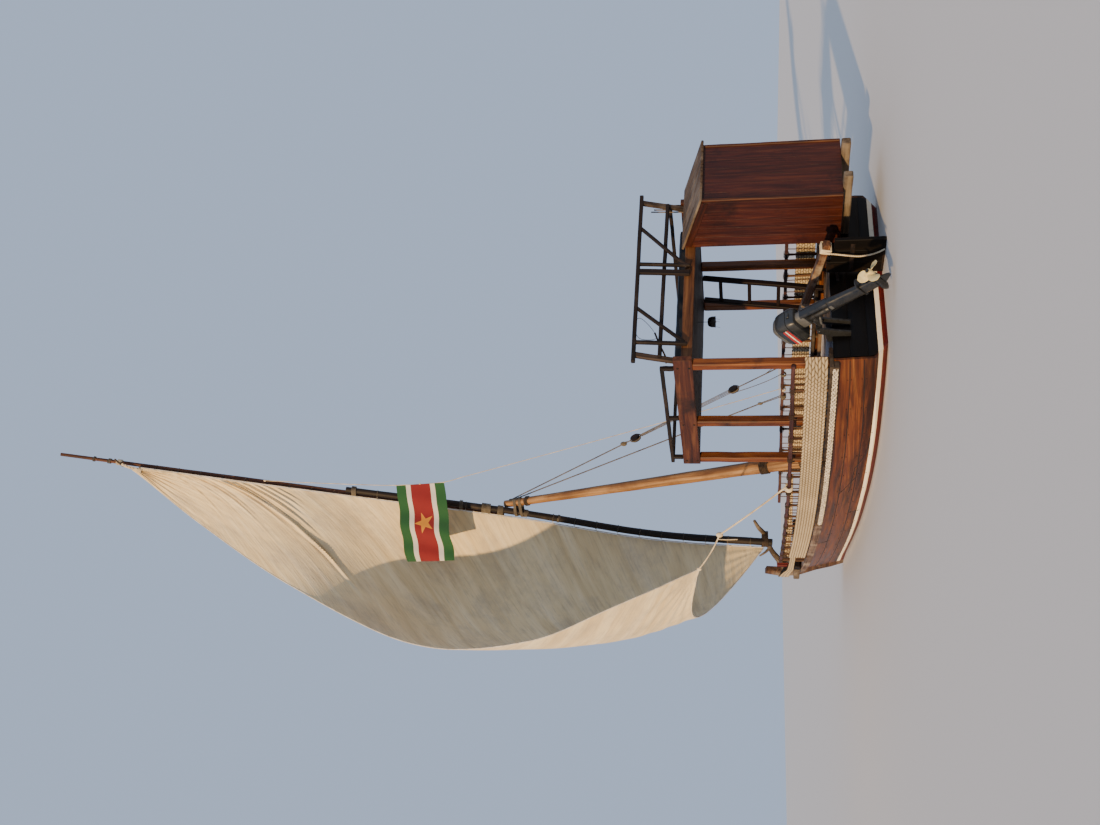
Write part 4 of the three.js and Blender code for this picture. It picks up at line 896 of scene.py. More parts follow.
def handrails():
    for name, side in SIDES.items():
        shape = Shape(51 + side)
        shares = np.linspace(0, HANDRAIL_END, 50)

        def bar(share, ahead=0.0):
            return rail_path(share + ahead, HANDRAIL_OUT, handrail_up(share) + 0.019, side)

        top, cut = bar(shares), 24
        shape.beam(top[:cut + 2], 0.042, 0.038, wear=0.006, wobble=0.002)
        shape.beam(top[cut:] + [0, 0, 0.006], 0.04, 0.038, wear=0.006, wobble=0.002)
        for station in [SPINDLE_START + SPINDLE_STEP * i for i in range(14)]:
            share = station / RAIL_END
            foot = rail_path(share, HANDRAIL_OUT, RAIL_THICK + 0.002, side)
            head = rail_path(share, HANDRAIL_OUT, handrail_up(share) + 0.01, side)
            line = foot + (head - foot) * np.linspace(0, 1, 9)[:, None]
            shape.pole(line, [0.018, 0.013, 0.016, 0.013, 0.017], 10, 0.08, finish=1)
            shape.lashing(bar(share, -0.006), bar(share, 0.006), 0.0262, 0.0025, 5, finish=2)
        for station in np.arange(0.15, 5.35, 0.107):
            if abs((station - SPINDLE_START) % SPINDLE_STEP) > 0.04:
                share = (station + shape.random.uniform(-0.02, 0.02)) / RAIL_END
                lean = share + shape.random.uniform(-0.003, 0.003)
                foot = rail_path(share, HANDRAIL_OUT + 0.006, RAIL_THICK + 0.001, side)
                head = rail_path(lean, HANDRAIL_OUT + 0.006, handrail_up(lean) + 0.004, side)
                shape.pole([foot, head], 0.0055, 6, finish=1)
        shape.make(f"{name}_handrail_wood", ["handrail_wood", "spindle_wood", "rope_dark"],
                   replaces=[f"{name}_handrail"])


def woven(shape, line_at, length, rows, stretch=lambda along: 1 + 0 * along):
    """A mat of plaited rows: line_at(distance shares) gives its foot and its way outwards."""
    per_stitch, per_row = 5, 4
    along = np.linspace(0, 1, int(length / MAT_STITCH * per_stitch))
    foot, outward = line_at(along)
    outward = outward[:, None]
    place = (along * length)[:, None]
    v = np.arange(rows * per_row + 1) / per_row
    row = np.minimum(v.astype(int), rows - 1)
    slant = (row % 2 - 0.5) * (v - row)
    v, slant = v[None, :], slant[None, :]
    bulge = np.abs(np.sin(np.pi * v)) ** 0.6
    stitch = np.abs(np.sin(np.pi * (place / MAT_STITCH + slant)))
    relief = bulge * (0.003 + 0.006 * stitch**0.6)
    uneven = 0.004 * ripple(place * 4, v * 0.6, 8)
    scallop = 0.004 * np.exp(-((v - rows) / 0.5) ** 2) * np.sin(2 * np.pi * place / MAT_STITCH)
    height = (v * MAT_ROW + scallop) * stretch(along)[:, None]
    middle = foot[:, None] + grid(0, 0, height) + (relief - 0.004 + uneven)[..., None] * outward
    grain = grid(place, v * MAT_ROW, 0)
    shape.skin(middle + outward * 0.003, middle - outward * 0.004, grain=grain, keep_grain=True)


def mats():
    """The mats along the rails; the port one's aft end curls round the corner."""
    for name, side in SIDES.items():
        shape = Shape(61 + side)
        length = steps_along(rail_path(np.linspace(0, MAT_END, 80), MAT_OUT, 0, side))[-1]

        def line_at(along):
            path = rail_path(along * (MAT_END - 0.001) + 0.0005, MAT_OUT, RAIL_THICK + 0.013, side)
            if name == "port":
                curl = np.clip(1 - along * length / 0.16, 0, 1)
                path[:, 0] -= 0.03 * np.sin(np.pi / 2 * np.minimum(curl * 1.6, 1))
                path[:, 1] -= 0.15 * np.clip(curl - 0.2, 0, None) ** 1.5
            return path, np.cross(unit(np.gradient(path, axis=0)), UPWARD) * -side

        woven(shape, line_at, length, 7)
        shape.make(f"{name}_woven_mat", "mat_straw", replaces=[f"{name}_mat"], smooth=60)


# The bow mat's way round the stem: stations and half-breadths
BOW_MAT = [(4.92, 0.64), (5.25, 0.535), (5.6, 0.43), (5.93, 0.33), (6.2, 0.235), (6.45, 0.15), (6.64, 0.09),
           (6.738, 0.05), (6.752, 0.0)]


def bow_mat():
    port = [(x, y, 0.71 + 0.05 * max(0, x - 5.93) / 0.822) for x, y in BOW_MAT]
    path = curve(port + [(x, -y, z) for x, y, z in port[-2::-1]], 400)
    shape = Shape(65)

    def line_at(along):
        points = resample(path, len(along))
        outward = np.cross(UPWARD, unit(np.gradient(points, axis=0))) * -1
        return points + outward * 0.007, outward

    def taller_at_stem(along):
        return 0.8 + 0.75 * np.exp(-(((along - 0.5) / 0.2) ** 2))

    woven(shape, line_at, steps_along(path)[-1], 3, taller_at_stem)
    shape.make("bow_woven_mat", "mat_straw", replaces=["bow_mat"], smooth=60)


# Canopy over the stern
BEAM_Z, BEAM_Y, POST_Y, POST_SIZE = 1.89, 1.06, 1.042, 0.086


def canopy():
    for name, side in SIDES.items():
        shape = Shape(71 + side)
        aft = -0.07 if side > 0 else 0.0
        shape.beam(grid((aft, 1.8), side * BEAM_Y, BEAM_Z), 0.06, 0.18, wear=0.005, finish=1)
        for x in (0.05, 1.03, 1.73):
            foot = float(hull_point("rail", (x + POST_SIZE / 2) / RAIL_END)[2]) + RAIL_THICK + 0.001
            shape.post(x, side * POST_Y, (foot, 1.803), POST_SIZE, POST_SIZE, wear=0.008, wobble=0.0025)
            for z in (1.83, 1.94):
                shape.ball((x, side * (BEAM_Y + 0.031), z), (0.012, 0.006, 0.012), finish=2)
        shape.make(f"{name}_canopy_timber", ["post_wood", "beam_wood", "black_iron"],
                   replaces=[f"{name}_canopy_side"])


def roof():
    shape = Shape(81)
    across = (-1.028, 1.028)
    # The boards take the near-black wood: painted shade for the roof's shaded underside
    for i in range(9):
        shape.beam(grid(0.06 + i * 0.187 + 0.092, across, 1.8255), 0.183, 0.038, wear=0.003)
    for x in (0.0275, 1.7725):
        shape.beam(grid(x, across, 1.858), 0.054, 0.103, wear=0.005, finish=1)
    shape.make("roof_boards", ["dark_wood", "tan_wood"], replaces=["roof_deck"])


def roof_rail():
    shape = Shape(83)
    for y in (BEAM_Y, -BEAM_Y):
        shape.beam(grid((0.07, 1.79), y, 2.095), 0.04, 0.038, wear=0.006)
        for x in (0.09, 0.95, 1.7):
            shape.post(x, y, (1.981, 2.09), 0.042, 0.04, wear=0.005)
    shape.beam(grid(1.7725, (-BEAM_Y, BEAM_Y), 2.0945), 0.04, 0.036, wear=0.006)
    shape.post(1.7725, 0, (1.911, 2.09), 0.04, 0.04, wear=0.005)
    shape.make("roof_rail_wood", "railing_wood", replaces=["roof_rail"])


BACK_FOOT, BACK_TOP, BACK_HALF, BACK_LEAN = 1.8515, 2.37, 1.09, 0.08


def seat_back():
    """The leaning back rest over the stern, a frame of light timbers."""
    shape = Shape(85)

    def on(y, z):
        return (-0.0213 - (z - BACK_FOOT) * BACK_LEAN, y, z)

    def head(y):
        return on(y, BACK_TOP - 0.015 * y / BACK_HALF)

    face = unit([1.0, 0, BACK_LEAN])
    shape.beam([head(-BACK_HALF), head(BACK_HALF)], 0.041, 0.041, up=face, wear=0.006)
    shape.beam(grid(-0.015, (-1.0, 1.0), 2.11), 0.038, 0.04, up=AHEAD, wear=0.006)
    for y, wide in ((0.85, 0.034), (-0.04, 0.06), (-0.14, 0.03)):
        shape.beam([on(y, BACK_FOOT), head(y)], wide, 0.038, up=face, wear=0.005)
    for low, high in ((0.83, 0.42), (-0.12, -0.64)):
        shape.beam([on(low, BACK_FOOT + 0.03), head(high)], 0.032, 0.032, up=face, wear=0.005)
    for y in (0.995, -0.995):
        struts = [(0.086, y, 1.848), np.array(head(y)) + [0.002, 0, 0.014]]
        shape.beam(struts, 0.058, 0.04, up=face, wear=0.007, wobble=0.002, finish=1)
    shape.make("seat_back_wood", ["railing_wood", "worn_post_wood"],
               replaces=["back_railing"])


ROOF_CABLE = [(0.10, 0.985, 2.055), (0.03, 0.96, 2.06), (-0.035, 0.86, 2.115), (-0.045, 0.73, 2.165)]
ROOF_WIRES = [[(-0.045, 0.73, 2.165), (-0.07, 0.66, 2.22), (-0.075, 0.57, 2.31), (-0.05, 0.56, 2.36)],
              [(-0.045, 0.8, 2.145), (-0.08, 0.84, 2.2), (-0.075, 0.82, 2.3), (-0.055, 0.72, 2.36)]]


def roof_cable():
    """A black cable tied from the roof rail to the seat back, with two thin wires and two sticks."""
    shape = Shape(86)
    shape.pole(curve(ROOF_CABLE, 24), 0.009, 10)
    for wire in ROOF_WIRES:
        shape.pole(curve(wire, 24), 0.0025, 6)
    for y, low, high in ((-1.03, 1.87, 2.3), (-1.06, 1.87, 2.27)):
        shape.pole([(0.14, y, low), (0.13, y - 0.012, high)], 0.007, 8, finish=1)
    shape.make("roof_cable", ["black_iron", "grey_wood"])


def ladder():
    shape = Shape(87)
    rails, (foot, head) = (1.12, 1.5), (0.475, 1.79)
    for x in rails:
        shape.beam(grid(x, (-0.76, -0.95), (foot, head)), 0.062, 0.04, up=AHEAD, wear=0.006)
    for z in (0.64, 0.955, 1.275, 1.595):
        y = -0.76 - 0.19 * (z - foot) / (head - foot)
        shape.beam(grid(rails, y, z), 0.028, 0.04, wear=0.005)
    shape.make("ladder_wood", "dark_wood", replaces=["ladder"])


LAMP_X, LAMP_RIM, LAMP_TALL = 0.72, 1.62, 0.085
# The shade from its top, down its outside and up its inside: radius and share of its height
LAMP_PROFILE = np.array([(0.004, 1.0), (0.03, 0.96), (0.047, 0.82), (0.057, 0.5), (0.06, 0.0), (0.056, 0.0),
                         (0.053, 0.45), (0.042, 0.75), (0.02, 0.86), (0.003, 0.88)])


def lamp():
    """An enamelled dome shade on a wire, with a small bulb."""
    shape = Shape(89)
    radii, heights = LAMP_PROFILE.T[..., None]
    rings = radii[..., None] * circle(32)
    shape.tube(grid(LAMP_X + rings[..., 0], rings[..., 1], LAMP_RIM + LAMP_TALL * heights))
    shape.pole(grid(LAMP_X, 0, (1.7, 1.805)), 0.003, 8)
    shape.ball((LAMP_X, 0, 1.635), (0.017, 0.017, 0.022), finish=1)
    for angle in (0.6, 2.7, 4.8):
        start = np.array([LAMP_X + 0.05 * math.cos(angle), 0.05 * math.sin(angle), 1.63])
        clip = curve([start, start + [0.004, 0.008, -0.035], start + [0.02, 0.0, -0.055]], 8)
        shape.pole(clip, 0.0012, 5, finish=2)
    shape.make("lamp_shade", ["lamp_enamel", "bulb_glass", "black_iron"],
               replaces=["lamp"])


# Closet: the places of its walls' boards and of its door's
CLOSET_FOOT, CLOSET_AFT, CLOSET_FORE = 0.3805, -0.6345, -0.0355
DOOR_Y, DOOR_Z = (-0.925, -0.465), (0.56, 1.735)
WALL = 0.0245


def closet_roof_z(x):
    return 1.72 + 0.2 * (x + 0.66) / 0.65


def closet_top(x):
    return closet_roof_z(x) - 0.002


def board_edges(start, end, count, seed):
    cuts = np.linspace(start, end, count + 1)
    cuts[1:-1] += np.random.RandomState(seed).uniform(-0.012, 0.012, count - 1)
    return list(zip(cuts[:-1], cuts[1:]))


def wall_across(shape, boards, x, foot, top, thick=WALL):
    """A wall of upright boards across the boat; boards lists their edges."""
    for a, b in boards:
        shape.beam(grid(x, (a + b) / 2, (foot, top)), abs(b - a) - 0.0004, thick, up=AHEAD, wear=0.0012,
                   wobble=0.0002)


def wall_along(shape, boards, y, foot, top_at):
    """A wall of upright boards along the boat, as high as top_at says for a station."""
    for a, b in boards:
        x = (a + b) / 2
        shape.beam(grid(x, y, (foot, top_at(x))), abs(b - a) - 0.0004, WALL, up=TO_PORT, wear=0.0012,
                   wobble=0.0002)


def closet_walls():
    ends = (CLOSET_AFT, CLOSET_FORE)
    for name, y, seed, face in (("port", -0.4025, 3, 0.0175), ("starboard", -1.1575, 4, -0.0175)):
        shape = Shape(91 + seed)
        wall_along(shape, board_edges(*ends, 5, seed), y, CLOSET_FOOT, lambda x: closet_top(x - 0.06))
        edge = grid(ends, y + face, [closet_top(x) - 0.036 for x in ends])
        shape.beam(edge, 0.009, 0.068, wear=0.002, finish=1)
        shape.make(f"closet_{name}_boards", ["closet_wood", "closet_dark_wood"],
                   replaces=[f"closet_{name}_wall"])
    shape = Shape(97)
    top = closet_top(-0.66)
    wall_across(shape, board_edges(-1.168, -0.392, 7, 6), -0.6475, CLOSET_FOOT, top)
    for y in (-0.404, -1.152):
        shape.post(-0.661, y, (CLOSET_FOOT, top), 0.034, 0.02, wear=0.006, finish=1)
    shape.make("closet_aft_boards", ["closet_wood", "closet_trim"],
               replaces=["closet_aft_wall"])


def closet_front():
    shape = Shape(99)
    x, top = -0.0225, closet_top(-0.035)
    wall_across(shape, [(-1.168, -1.052), (-1.052, -0.932), (-0.458, -0.392)], x, CLOSET_FOOT, top)
    for low, high in ((CLOSET_FOOT, 0.553), (1.742, top)):
        shape.beam(grid(x, (-0.931, -0.459), (low + high) / 2), WALL, high - low, wear=0.003)
    shape.make("closet_front_boards", "closet_wood", replaces=["closet_front"])
    door = Shape(101)
    wall_across(door, board_edges(*DOOR_Y, 4, 9), -0.022, *DOOR_Z, thick=0.018)
    for z in (0.72, 1.55):
        door.beam(grid(-0.034, (-0.9, -0.49), z), 0.005, 0.09, wear=0.002)
    door.make("closet_door_boards", "closet_wood", body="closet_door_body",
              replaces=["closet_door"])


def closet_roof_and_floor():
    shape = Shape(103)
    ends = (-0.705, -0.008)
    for a, b in board_edges(-1.2, -0.365, 5, 12):
        line = grid(ends, (a + b) / 2, [closet_roof_z(x) + 0.0135 for x in ends])
        shape.beam(line, b - a - 0.003, 0.023, wear=0.004, wobble=0.0015)
    shape.make("closet_roof_boards", "closet_roof_wood", replaces=["closet_roof"])
    floor = Shape(105)
    for a, b in board_edges(CLOSET_AFT, CLOSET_FORE, 4, 13):
        floor.beam(grid((a + b) / 2, (-1.1445, -0.4155), 0.3925), b - a - 0.003, 0.033, wear=0.003)
    for y in (-0.55, -1.0):
        floor.beam(grid((-0.79, -0.0005), y, 0.3345), 0.09, 0.087, wear=0.01, wobble=0.003, finish=1)
    floor.make("closet_floor_boards", ["deck_wood", "grey_wood"],
               replaces=["closet_floor"])


# Inside of the hull
def deck_boards(shape, start, end, z, thick, count):
    """Fore and aft boards between two stations, cut to the planking's inner face."""
    edge = min(inside_half(x, z) for x in (start, end, (start + end) / 2))
    widest = max(inside_half(x, z) for x in np.linspace(start, end, 9)) - 0.018
    pitch = 2 * widest / count
    for i in range(count):
        low, high = -widest + i * pitch, -widest + (i + 1) * pitch
        reach = max(abs(low), abs(high))
        fits = [x for x in np.linspace(start, end, 60) if inside_half(x, z) - 0.016 >= reach]
        if len(fits) > 2 or reach <= edge:
            line = grid((fits[0], fits[-1]), (low + high) / 2, z)
            shape.beam(line, pitch - 0.004, thick, wear=0.003, wobble=0.001)


def bulkhead(shape, x, half, count, low_at, top):
    """Upright boards across the boat from side to side."""
    for i in range(count):
        a, b = -half + 2 * half * i / count, -half + 2 * half * (i + 1) / count
        shape.post(x, (a + b) / 2, (low_at(abs(a + b) / 2), top), b - a - 0.003, WALL, wear=0.003)


def decks():
    sole = Shape(111)
    deck_boards(sole, 0.036, 5.45, 0.0653, 0.0288, 12)
    sole.beam(grid((3.23, 3.51), 0, 0.1095), 0.26, 0.0605, wear=0.006, finish=1)
    sole.make("sole_boards", ["deck_wood", "dark_wood"], replaces=["sole"])
    aft = Shape(113)
    deck_boards(aft, 0.036, 1.88, 0.42, 0.039, 13)
    low_part = inside_half(1.88, 0.1) - 0.06
    half = inside_half(1.88, 0.25) - 0.016
    bulkhead(aft, 1.8675, half, 9, lambda y: 0.081 if y < low_part else 0.16, 0.4)
    aft.make("aft_deck_boards", "deck_wood", replaces=["aft_deck"])
    fore = Shape(115)
    deck_boards(fore, 4.85, 6.33, 0.465, 0.029, 9)
    bulkhead(fore, 4.8625, inside_half(4.87, 0.25) - 0.016, 6, lambda y: 0.09, 0.45)
    fore.make("foredeck_boards", "deck_wood", replaces=["foredeck"])


def ribs():
    """Sawn frames inside the planking, each side of the hold."""
    shape = Shape(117)
    heights = np.linspace(0.5, 0.1, 6)
    for x in np.arange(2.1, 6.1, 0.33):
        halves = np.array([inside_half(x, z) for z in heights]) - 0.018
        for side in (1, -1):
            shape.beam(grid(x, side * halves, heights), 0.045, 0.032, up=AHEAD, wear=0.006)
    stations = np.linspace(1.95, 4.8, 30)
    halves = np.array([inside_half(x, 0.44) for x in stations]) - 0.05
    for side in (1, -1):
        shape.beam(grid(stations, side * halves, 0.44), 0.02, 0.06, wear=0.004)
    shape.make("ribs_and_stringers", "deck_wood")


def bench_back(x):
    return inside_half(x, 0.325) + PLANK - 0.046


def benches():
    stations = np.linspace(1.96, 4.78, 22)
    backs = np.array([bench_back(x) for x in stations])
    for name, side in SIDES.items():
        shape = Shape(119 + side)
        for k in range(3):
            middle = side * (backs - (0.06 + 0.12 * k))
            shape.beam(grid(stations, middle, 0.3375), 0.117, 0.024, wear=0.003)
        for x in (2.0, 3.37, 4.69):
            y = side * (bench_back(x + 0.05) - 0.31)
            shape.post(x + 0.025, y, (0.081, 0.327), 0.05, 0.05, wear=0.005)
        shape.make(f"{name}_bench_boards", "deck_wood", replaces=[f"{name}_bench"])


# Mast and rigging
MAST_FOOT, MAST_HIGH, MAST_RAKE = (3.37, 0.14), 4.52, 1.33
RAIL_TUBE = 0.0265


def mast_at(z):
    z = np.asarray(z, float)
    return grid(MAST_FOOT[0] + MAST_RAKE * (z - MAST_FOOT[1]) / MAST_HIGH, 0, z)


def bind(shape, first, second, radii, cord, turns, along, **words):
    """A cord wound round two spars together, at a point on each."""
    first, second, along = np.asarray(first, float), np.asarray(second, float), unit(along)
    across = second - first
    across = across - along * (across @ along)
    half = np.linalg.norm(across) / 2
    way = unit(across)
    side = np.cross(along, way)
    angle = np.linspace(0, 2 * np.pi * turns, int(turns * 28) + 1)
    bulge = np.where(np.cos(angle) < 0, radii[0], radii[1]) + cord
    flat = np.tanh(np.cos(angle) * 5) * half
    rise = np.linspace(-0.5, 0.5, len(angle)) * turns * cord * 2
    path = (first + second) / 2 + way * (flat + bulge * np.cos(angle))[:, None]
    path = path + side * (bulge * np.sin(angle))[:, None]
    shape.loft(path + along * rise[:, None], circle(6) * cord, up=along, **words)


def mast():
    shape = Shape(131)
    shape.pole(mast_at(np.linspace(0.13, 4.66, 70)), [0.0945, 0.0497], 28, 0.035)
    for z, turns in ((1.05, 6), (0.62, 3), (4.3, 3)):
        radius = 0.095 - 0.045 * (z - MAST_FOOT[1]) / MAST_HIGH
        shape.lashing(mast_at(z), mast_at(z + turns * 0.018), radius, 0.008, turns, finish=1)
    shape.make("mast_spar", ["mast_wood", "rope_dark"], replaces=["mast"])


YARD_Y, SAIL_OUT, POLE_OUT = 0.112, 0.075, 0.048
YARD = curve([(5.565, YARD_Y, 1.0), (5.365, YARD_Y, 2.6), (4.765, YARD_Y, 4.5), (4.05, YARD_Y, 7.3),
              (3.165, YARD_Y, 10.65)], 600)
# Each pole's start and end on the yard, its way fore or aft of it, and its radius at foot and head
POLES = {"lower": (0.0, 0.6, -POLE_OUT, 0.052, 0.040), "upper": (0.38, 1.0, POLE_OUT, 0.044, 0.022)}
# Lashings round both poles: place on the yard, turns and cord. Then round one pole: place and turns
PAIR_LASHINGS = ((0.385, 5, 0.008), (0.405, 7, 0.009), (0.44, 3, 0.008), (0.515, 3, 0.008),
                 (0.59, 4, 0.008))
SINGLE_LASHINGS = ((0.30, 2), (0.345, 4), (0.93, 3), (0.952, 2))


def yard_at(share):
    place = np.asarray(share, float) * (len(YARD) - 1)
    return np.stack([np.interp(place, np.arange(len(YARD)), YARD[:, k]) for k in range(3)], axis=-1)


def yard_heading(share):
    return unit(yard_at(min(share + 0.01, 1)) - yard_at(max(share - 0.01, 0)))


def yards():
    for name, (start, end, out, foot, head) in POLES.items():
        shape = Shape(len(name) + int(start * 50))
        shape.pole(yard_at(np.linspace(start, end, 90)) + [out, 0, 0], [foot, head], 20, 0.045)
        for share in np.linspace(start + 0.06, end - 0.05, 9):
            radius = foot + (head - foot) * (share - start) / (end - start)
            knot = yard_at(share) + [out, 0, 0] + unit(shape.random.uniform(-1, 1, 3)) * radius * 0.85
            shape.ball(knot, (0.016, 0.013, 0.022))
        shape.make(f"yard_{name}_spar", f"yard_{name}_wood", body="sail_rig",
                   replaces=[f"yard_{name}"])
    binding = Shape(141)
    for share, turns, cord in PAIR_LASHINGS:
        ends = [yard_at(share) + [out, 0, 0] for out in (-POLE_OUT, POLE_OUT)]
        bind(binding, *ends, (0.047, 0.044), cord, turns, yard_heading(share))
    for share, turns in SINGLE_LASHINGS:
        out, radius = (-POLE_OUT, 0.052 - 0.02 * share) if share < 0.5 else (POLE_OUT, 0.0265)
        centre = yard_at(share) + [out, 0, 0]
        binding.lashing(centre, centre + yard_heading(share) * turns * 0.016, radius, 0.006, turns)
    binding.make("yard_lashings", "rope_grey", body="sail_rig")
    sling = Shape(143)
    for z in (4.42, 4.50):
        yard_point = yard_at(0.352 + (z - 4.4) * 0.095) - [POLE_OUT, 0, 0]
        bind(sling, mast_at(z), yard_point, (0.052, 0.048), 0.007, 3, (0.2, 0, 1))
    piece = sling.make("masthead_sling", "rope_grey", body=None)
    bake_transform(piece)


# Sail: luff is a share of the yard, share runs from luff to leech
SAIL_KEYS = [0.012, 0.16, 0.3, 0.465, 0.63, 0.775, 0.885]
SAIL_LEECH = [(3.43, 1.55, 1.88), (3.24, 2.13, 2.8), (3.6, 2.46, 3.9), (4.21, 2.29, 5.49),
              (4.26, 1.51, 7.33), (4.13, 0.66, 8.84), (3.46, 0.2, 9.66)]
SAIL_BELLY = [0.76, 0.85, 0.8, 0.75, 0.05, 0.05, 0.03]
SAIL_RISE = [0.43, 0.12, 0.06, 0.03, 0, 0, 0]
LUFF_LONG, CHORD_LONG = 9.85, 3.3
SAIL_ROWS, SAIL_COLUMNS, SAIL_HALF_THICK = 330, 130, 0.002
# Creases that the wind pulls across the cloth: where each starts and ends, its depth and its width
CREASES = [
    ((0.776, 0.0), (0.556, 0.73), 0.046, 0.03), ((0.764, 0.0), (0.578, 0.66), 0.032, 0.026),
    ((0.748, 0.0), (0.62, 0.43), 0.026, 0.026), ((0.732, 0.0), (0.645, 0.29), 0.022, 0.026),
    ((0.716, 0.0), (0.655, 0.2), 0.018, 0.026), ((0.7, 0.0), (0.66, 0.13), 0.014, 0.026),
    ((0.652, 0.43), (0.585, 0.62), 0.022, 0.028), ((0.792, 0.0), (0.66, 0.46), 0.018, 0.03),
    ((0.808, 0.0), (0.7, 0.5), 0.018, 0.028), ((0.824, 0.0), (0.67, 0.66), 0.016, 0.032),
    ((0.842, 0.0), (0.73, 0.55), 0.015, 0.028), ((0.862, 0.0), (0.75, 0.7), 0.015, 0.028),
    ((0.44, 0.12), (0.2, 0.7), 0.010, 0.05), ((0.27, 0.06), (0.1, 0.42), 0.010, 0.04),
    ((0.36, 0.3), (0.26, 0.62), 0.008, 0.05),
]


def sail_point(luff, share):
    leech = np.stack([fair(SAIL_KEYS, [p[k] for p in SAIL_LEECH], luff) for k in range(3)], axis=-1)
    tied = yard_at(luff) + [0, SAIL_OUT, 0]
    chord = leech - tied
    outward = unit(grid(chord[..., 1], -chord[..., 0], 0))
    full = (4 * share * (1 - share))[..., None]
    belly = fair(SAIL_KEYS, SAIL_BELLY, luff)[..., None]
    rise = grid(0, 0, fair(SAIL_KEYS, SAIL_RISE, luff))
    return tied + chord * share[..., None] + (outward * belly + rise) * full


def crease(u, v, start, end, depth, width):
    """A furrow with raised sides along a line on the cloth that fades out towards its end."""
    a, b = [np.array([luff * LUFF_LONG, share * CHORD_LONG]) for luff, share in (start, end)]
    length = np.linalg.norm(b - a)
    way = (b - a) / length
    along = ((u - a[0]) * way[0] + (v - a[1]) * way[1]) / length
    off = (-(u - a[0]) * way[1] + (v - a[1]) * way[0] + 0.008 * np.sin(along * 5)) / width
    fade = np.clip(along / 0.08 + 0.4, 0, 1) * np.clip((1.08 - along) / 0.45, 0, 1)
    sides = 0.6 * np.exp(-((off - 1.4) ** 2)), 0.35 * np.exp(-((off + 1.5) ** 2))
    return depth * fade * (sides[0] - np.exp(-off * off) + sides[1])


def sail_wrinkles(luff, share):
    u, v = luff * LUFF_LONG, share * CHORD_LONG
    depth = sum(crease(u, v, *line) for line in CREASES)
    near_peak = np.exp(-((SAIL_KEYS[-1] - luff) / 0.085) ** 1.5)
    depth += near_peak * (0.010 * np.sin(share * 44 + 2 * np.sin(luff * 30)) + 0.006 * np.sin(share * 83))
    clew_u, clew_v = u - SAIL_KEYS[0] * LUFF_LONG, CHORD_LONG - v
    from_clew, clew_way = np.hypot(clew_u, clew_v), np.arctan2(clew_v, clew_u + 0.02)
    near_clew = np.exp(-((from_clew / 1.5) ** 2)) * np.clip(from_clew / 0.25, 0, 1)
    depth += 0.011 * np.sin(clew_way * 26) * near_clew
    near_tack = np.exp(-((np.hypot(v, u - 0.12) / 0.7) ** 2))
    depth += 0.006 * np.sin(np.arctan2(v, u - 0.10) * 17) * near_tack
    depth += 0.006 * np.cos(2 * np.pi * u / 0.3) * np.exp(-v / 0.14)
    return depth + 0.006 * ripple(u * 1.7, v * 2.2, 9) + 0.0025 * ripple(u * 6, v * 7, 10)


def sail_surface():
    """The sail's points, its normals and its own coordinates, closer together where it is creased."""
    rows = np.interp(np.linspace(0, 1, SAIL_ROWS), [0, 0.27, 0.43, 0.88, 1],
                     [SAIL_KEYS[0], 0.3, 0.56, 0.8, SAIL_KEYS[-1]])
    columns = np.interp(np.linspace(0, 1, SAIL_COLUMNS), [0, 0.36, 1], [0, 0.25, 1])
    luff, share = np.meshgrid(rows, columns, indexing="ij")
    points = sail_point(luff, share)
    normal = unit(np.cross(np.gradient(points, axis=0), np.gradient(points, axis=1)))
    offset = sail_wrinkles(luff, share) * np.clip(share / 0.02, 0, 1)
    return points - normal * offset[..., None], normal, grid(luff * LUFF_LONG, share * CHORD_LONG, 0)


def robands(shape):
    """The ties that lace the luff to the yard: round both poles where they overlap, or round one."""
    for share in np.arange(0.03, 0.88, 0.031):
        if 0.33 < share < 0.385:
            continue
        if share < 0.385:
            out, radius = -POLE_OUT, 0.053 * 0.97
        elif share < 0.59:
            out, radius = 0.0, None
        else:
            out, radius = POLE_OUT, 0.044 * 0.97 - 0.018 * share
        centre = yard_at(share) + [out, 0, 0]
        if radius is None:
            bind(shape, centre - [POLE_OUT, 0, 0], centre + [POLE_OUT, 0, 0], (0.046, 0.043), 0.003, 1,
                 yard_heading(share), finish=1)
        else:
            shape.lashing(centre, centre + yard_heading(share) * 0.008, radius, 0.003, 1, finish=1)
        eye = yard_at(share) + [0, SAIL_OUT - 0.006, 0]
        shape.pole(curve([centre + [0, 0.03, 0], eye, eye + [-0.02, 0.012, -0.05]], 8), 0.004, 6)


def sail():
    points, normal, grain = sail_surface()
    shape = Shape(151)
    thick = normal * SAIL_HALF_THICK
    shape.skin(points - thick, points + thick, grain=grain, keep_grain=True, tone=0.5)
    sheet = shape.make("sail_canvas", "canvas", body="sail_rig",
                       replaces=["sail"], smooth=80)
    edges = Shape(153)
    luff, leech, foot = points[:, 0] + [0, -0.012, 0], points[:, -1], points[0]
    for line, radius in ((luff, 0.0085), (leech, 0.0075), (foot, 0.0075)):
        edges.rope(line, radius)
    robands(edges)
    rope = edges.make("sail_bolt_rope", ["rope_white", "rope_grey"], body="sail_rig")
    across, lengthwise = np.diff(points, axis=1), np.diff(points, axis=0)
    lengths = np.linalg.norm(across, axis=2).sum(1).max(), steps_along(points[:, 0])[-1]
    area = float(np.linalg.norm(np.cross(lengthwise[:, :-1], across[:-1]), axis=2).sum())
    peak(points)


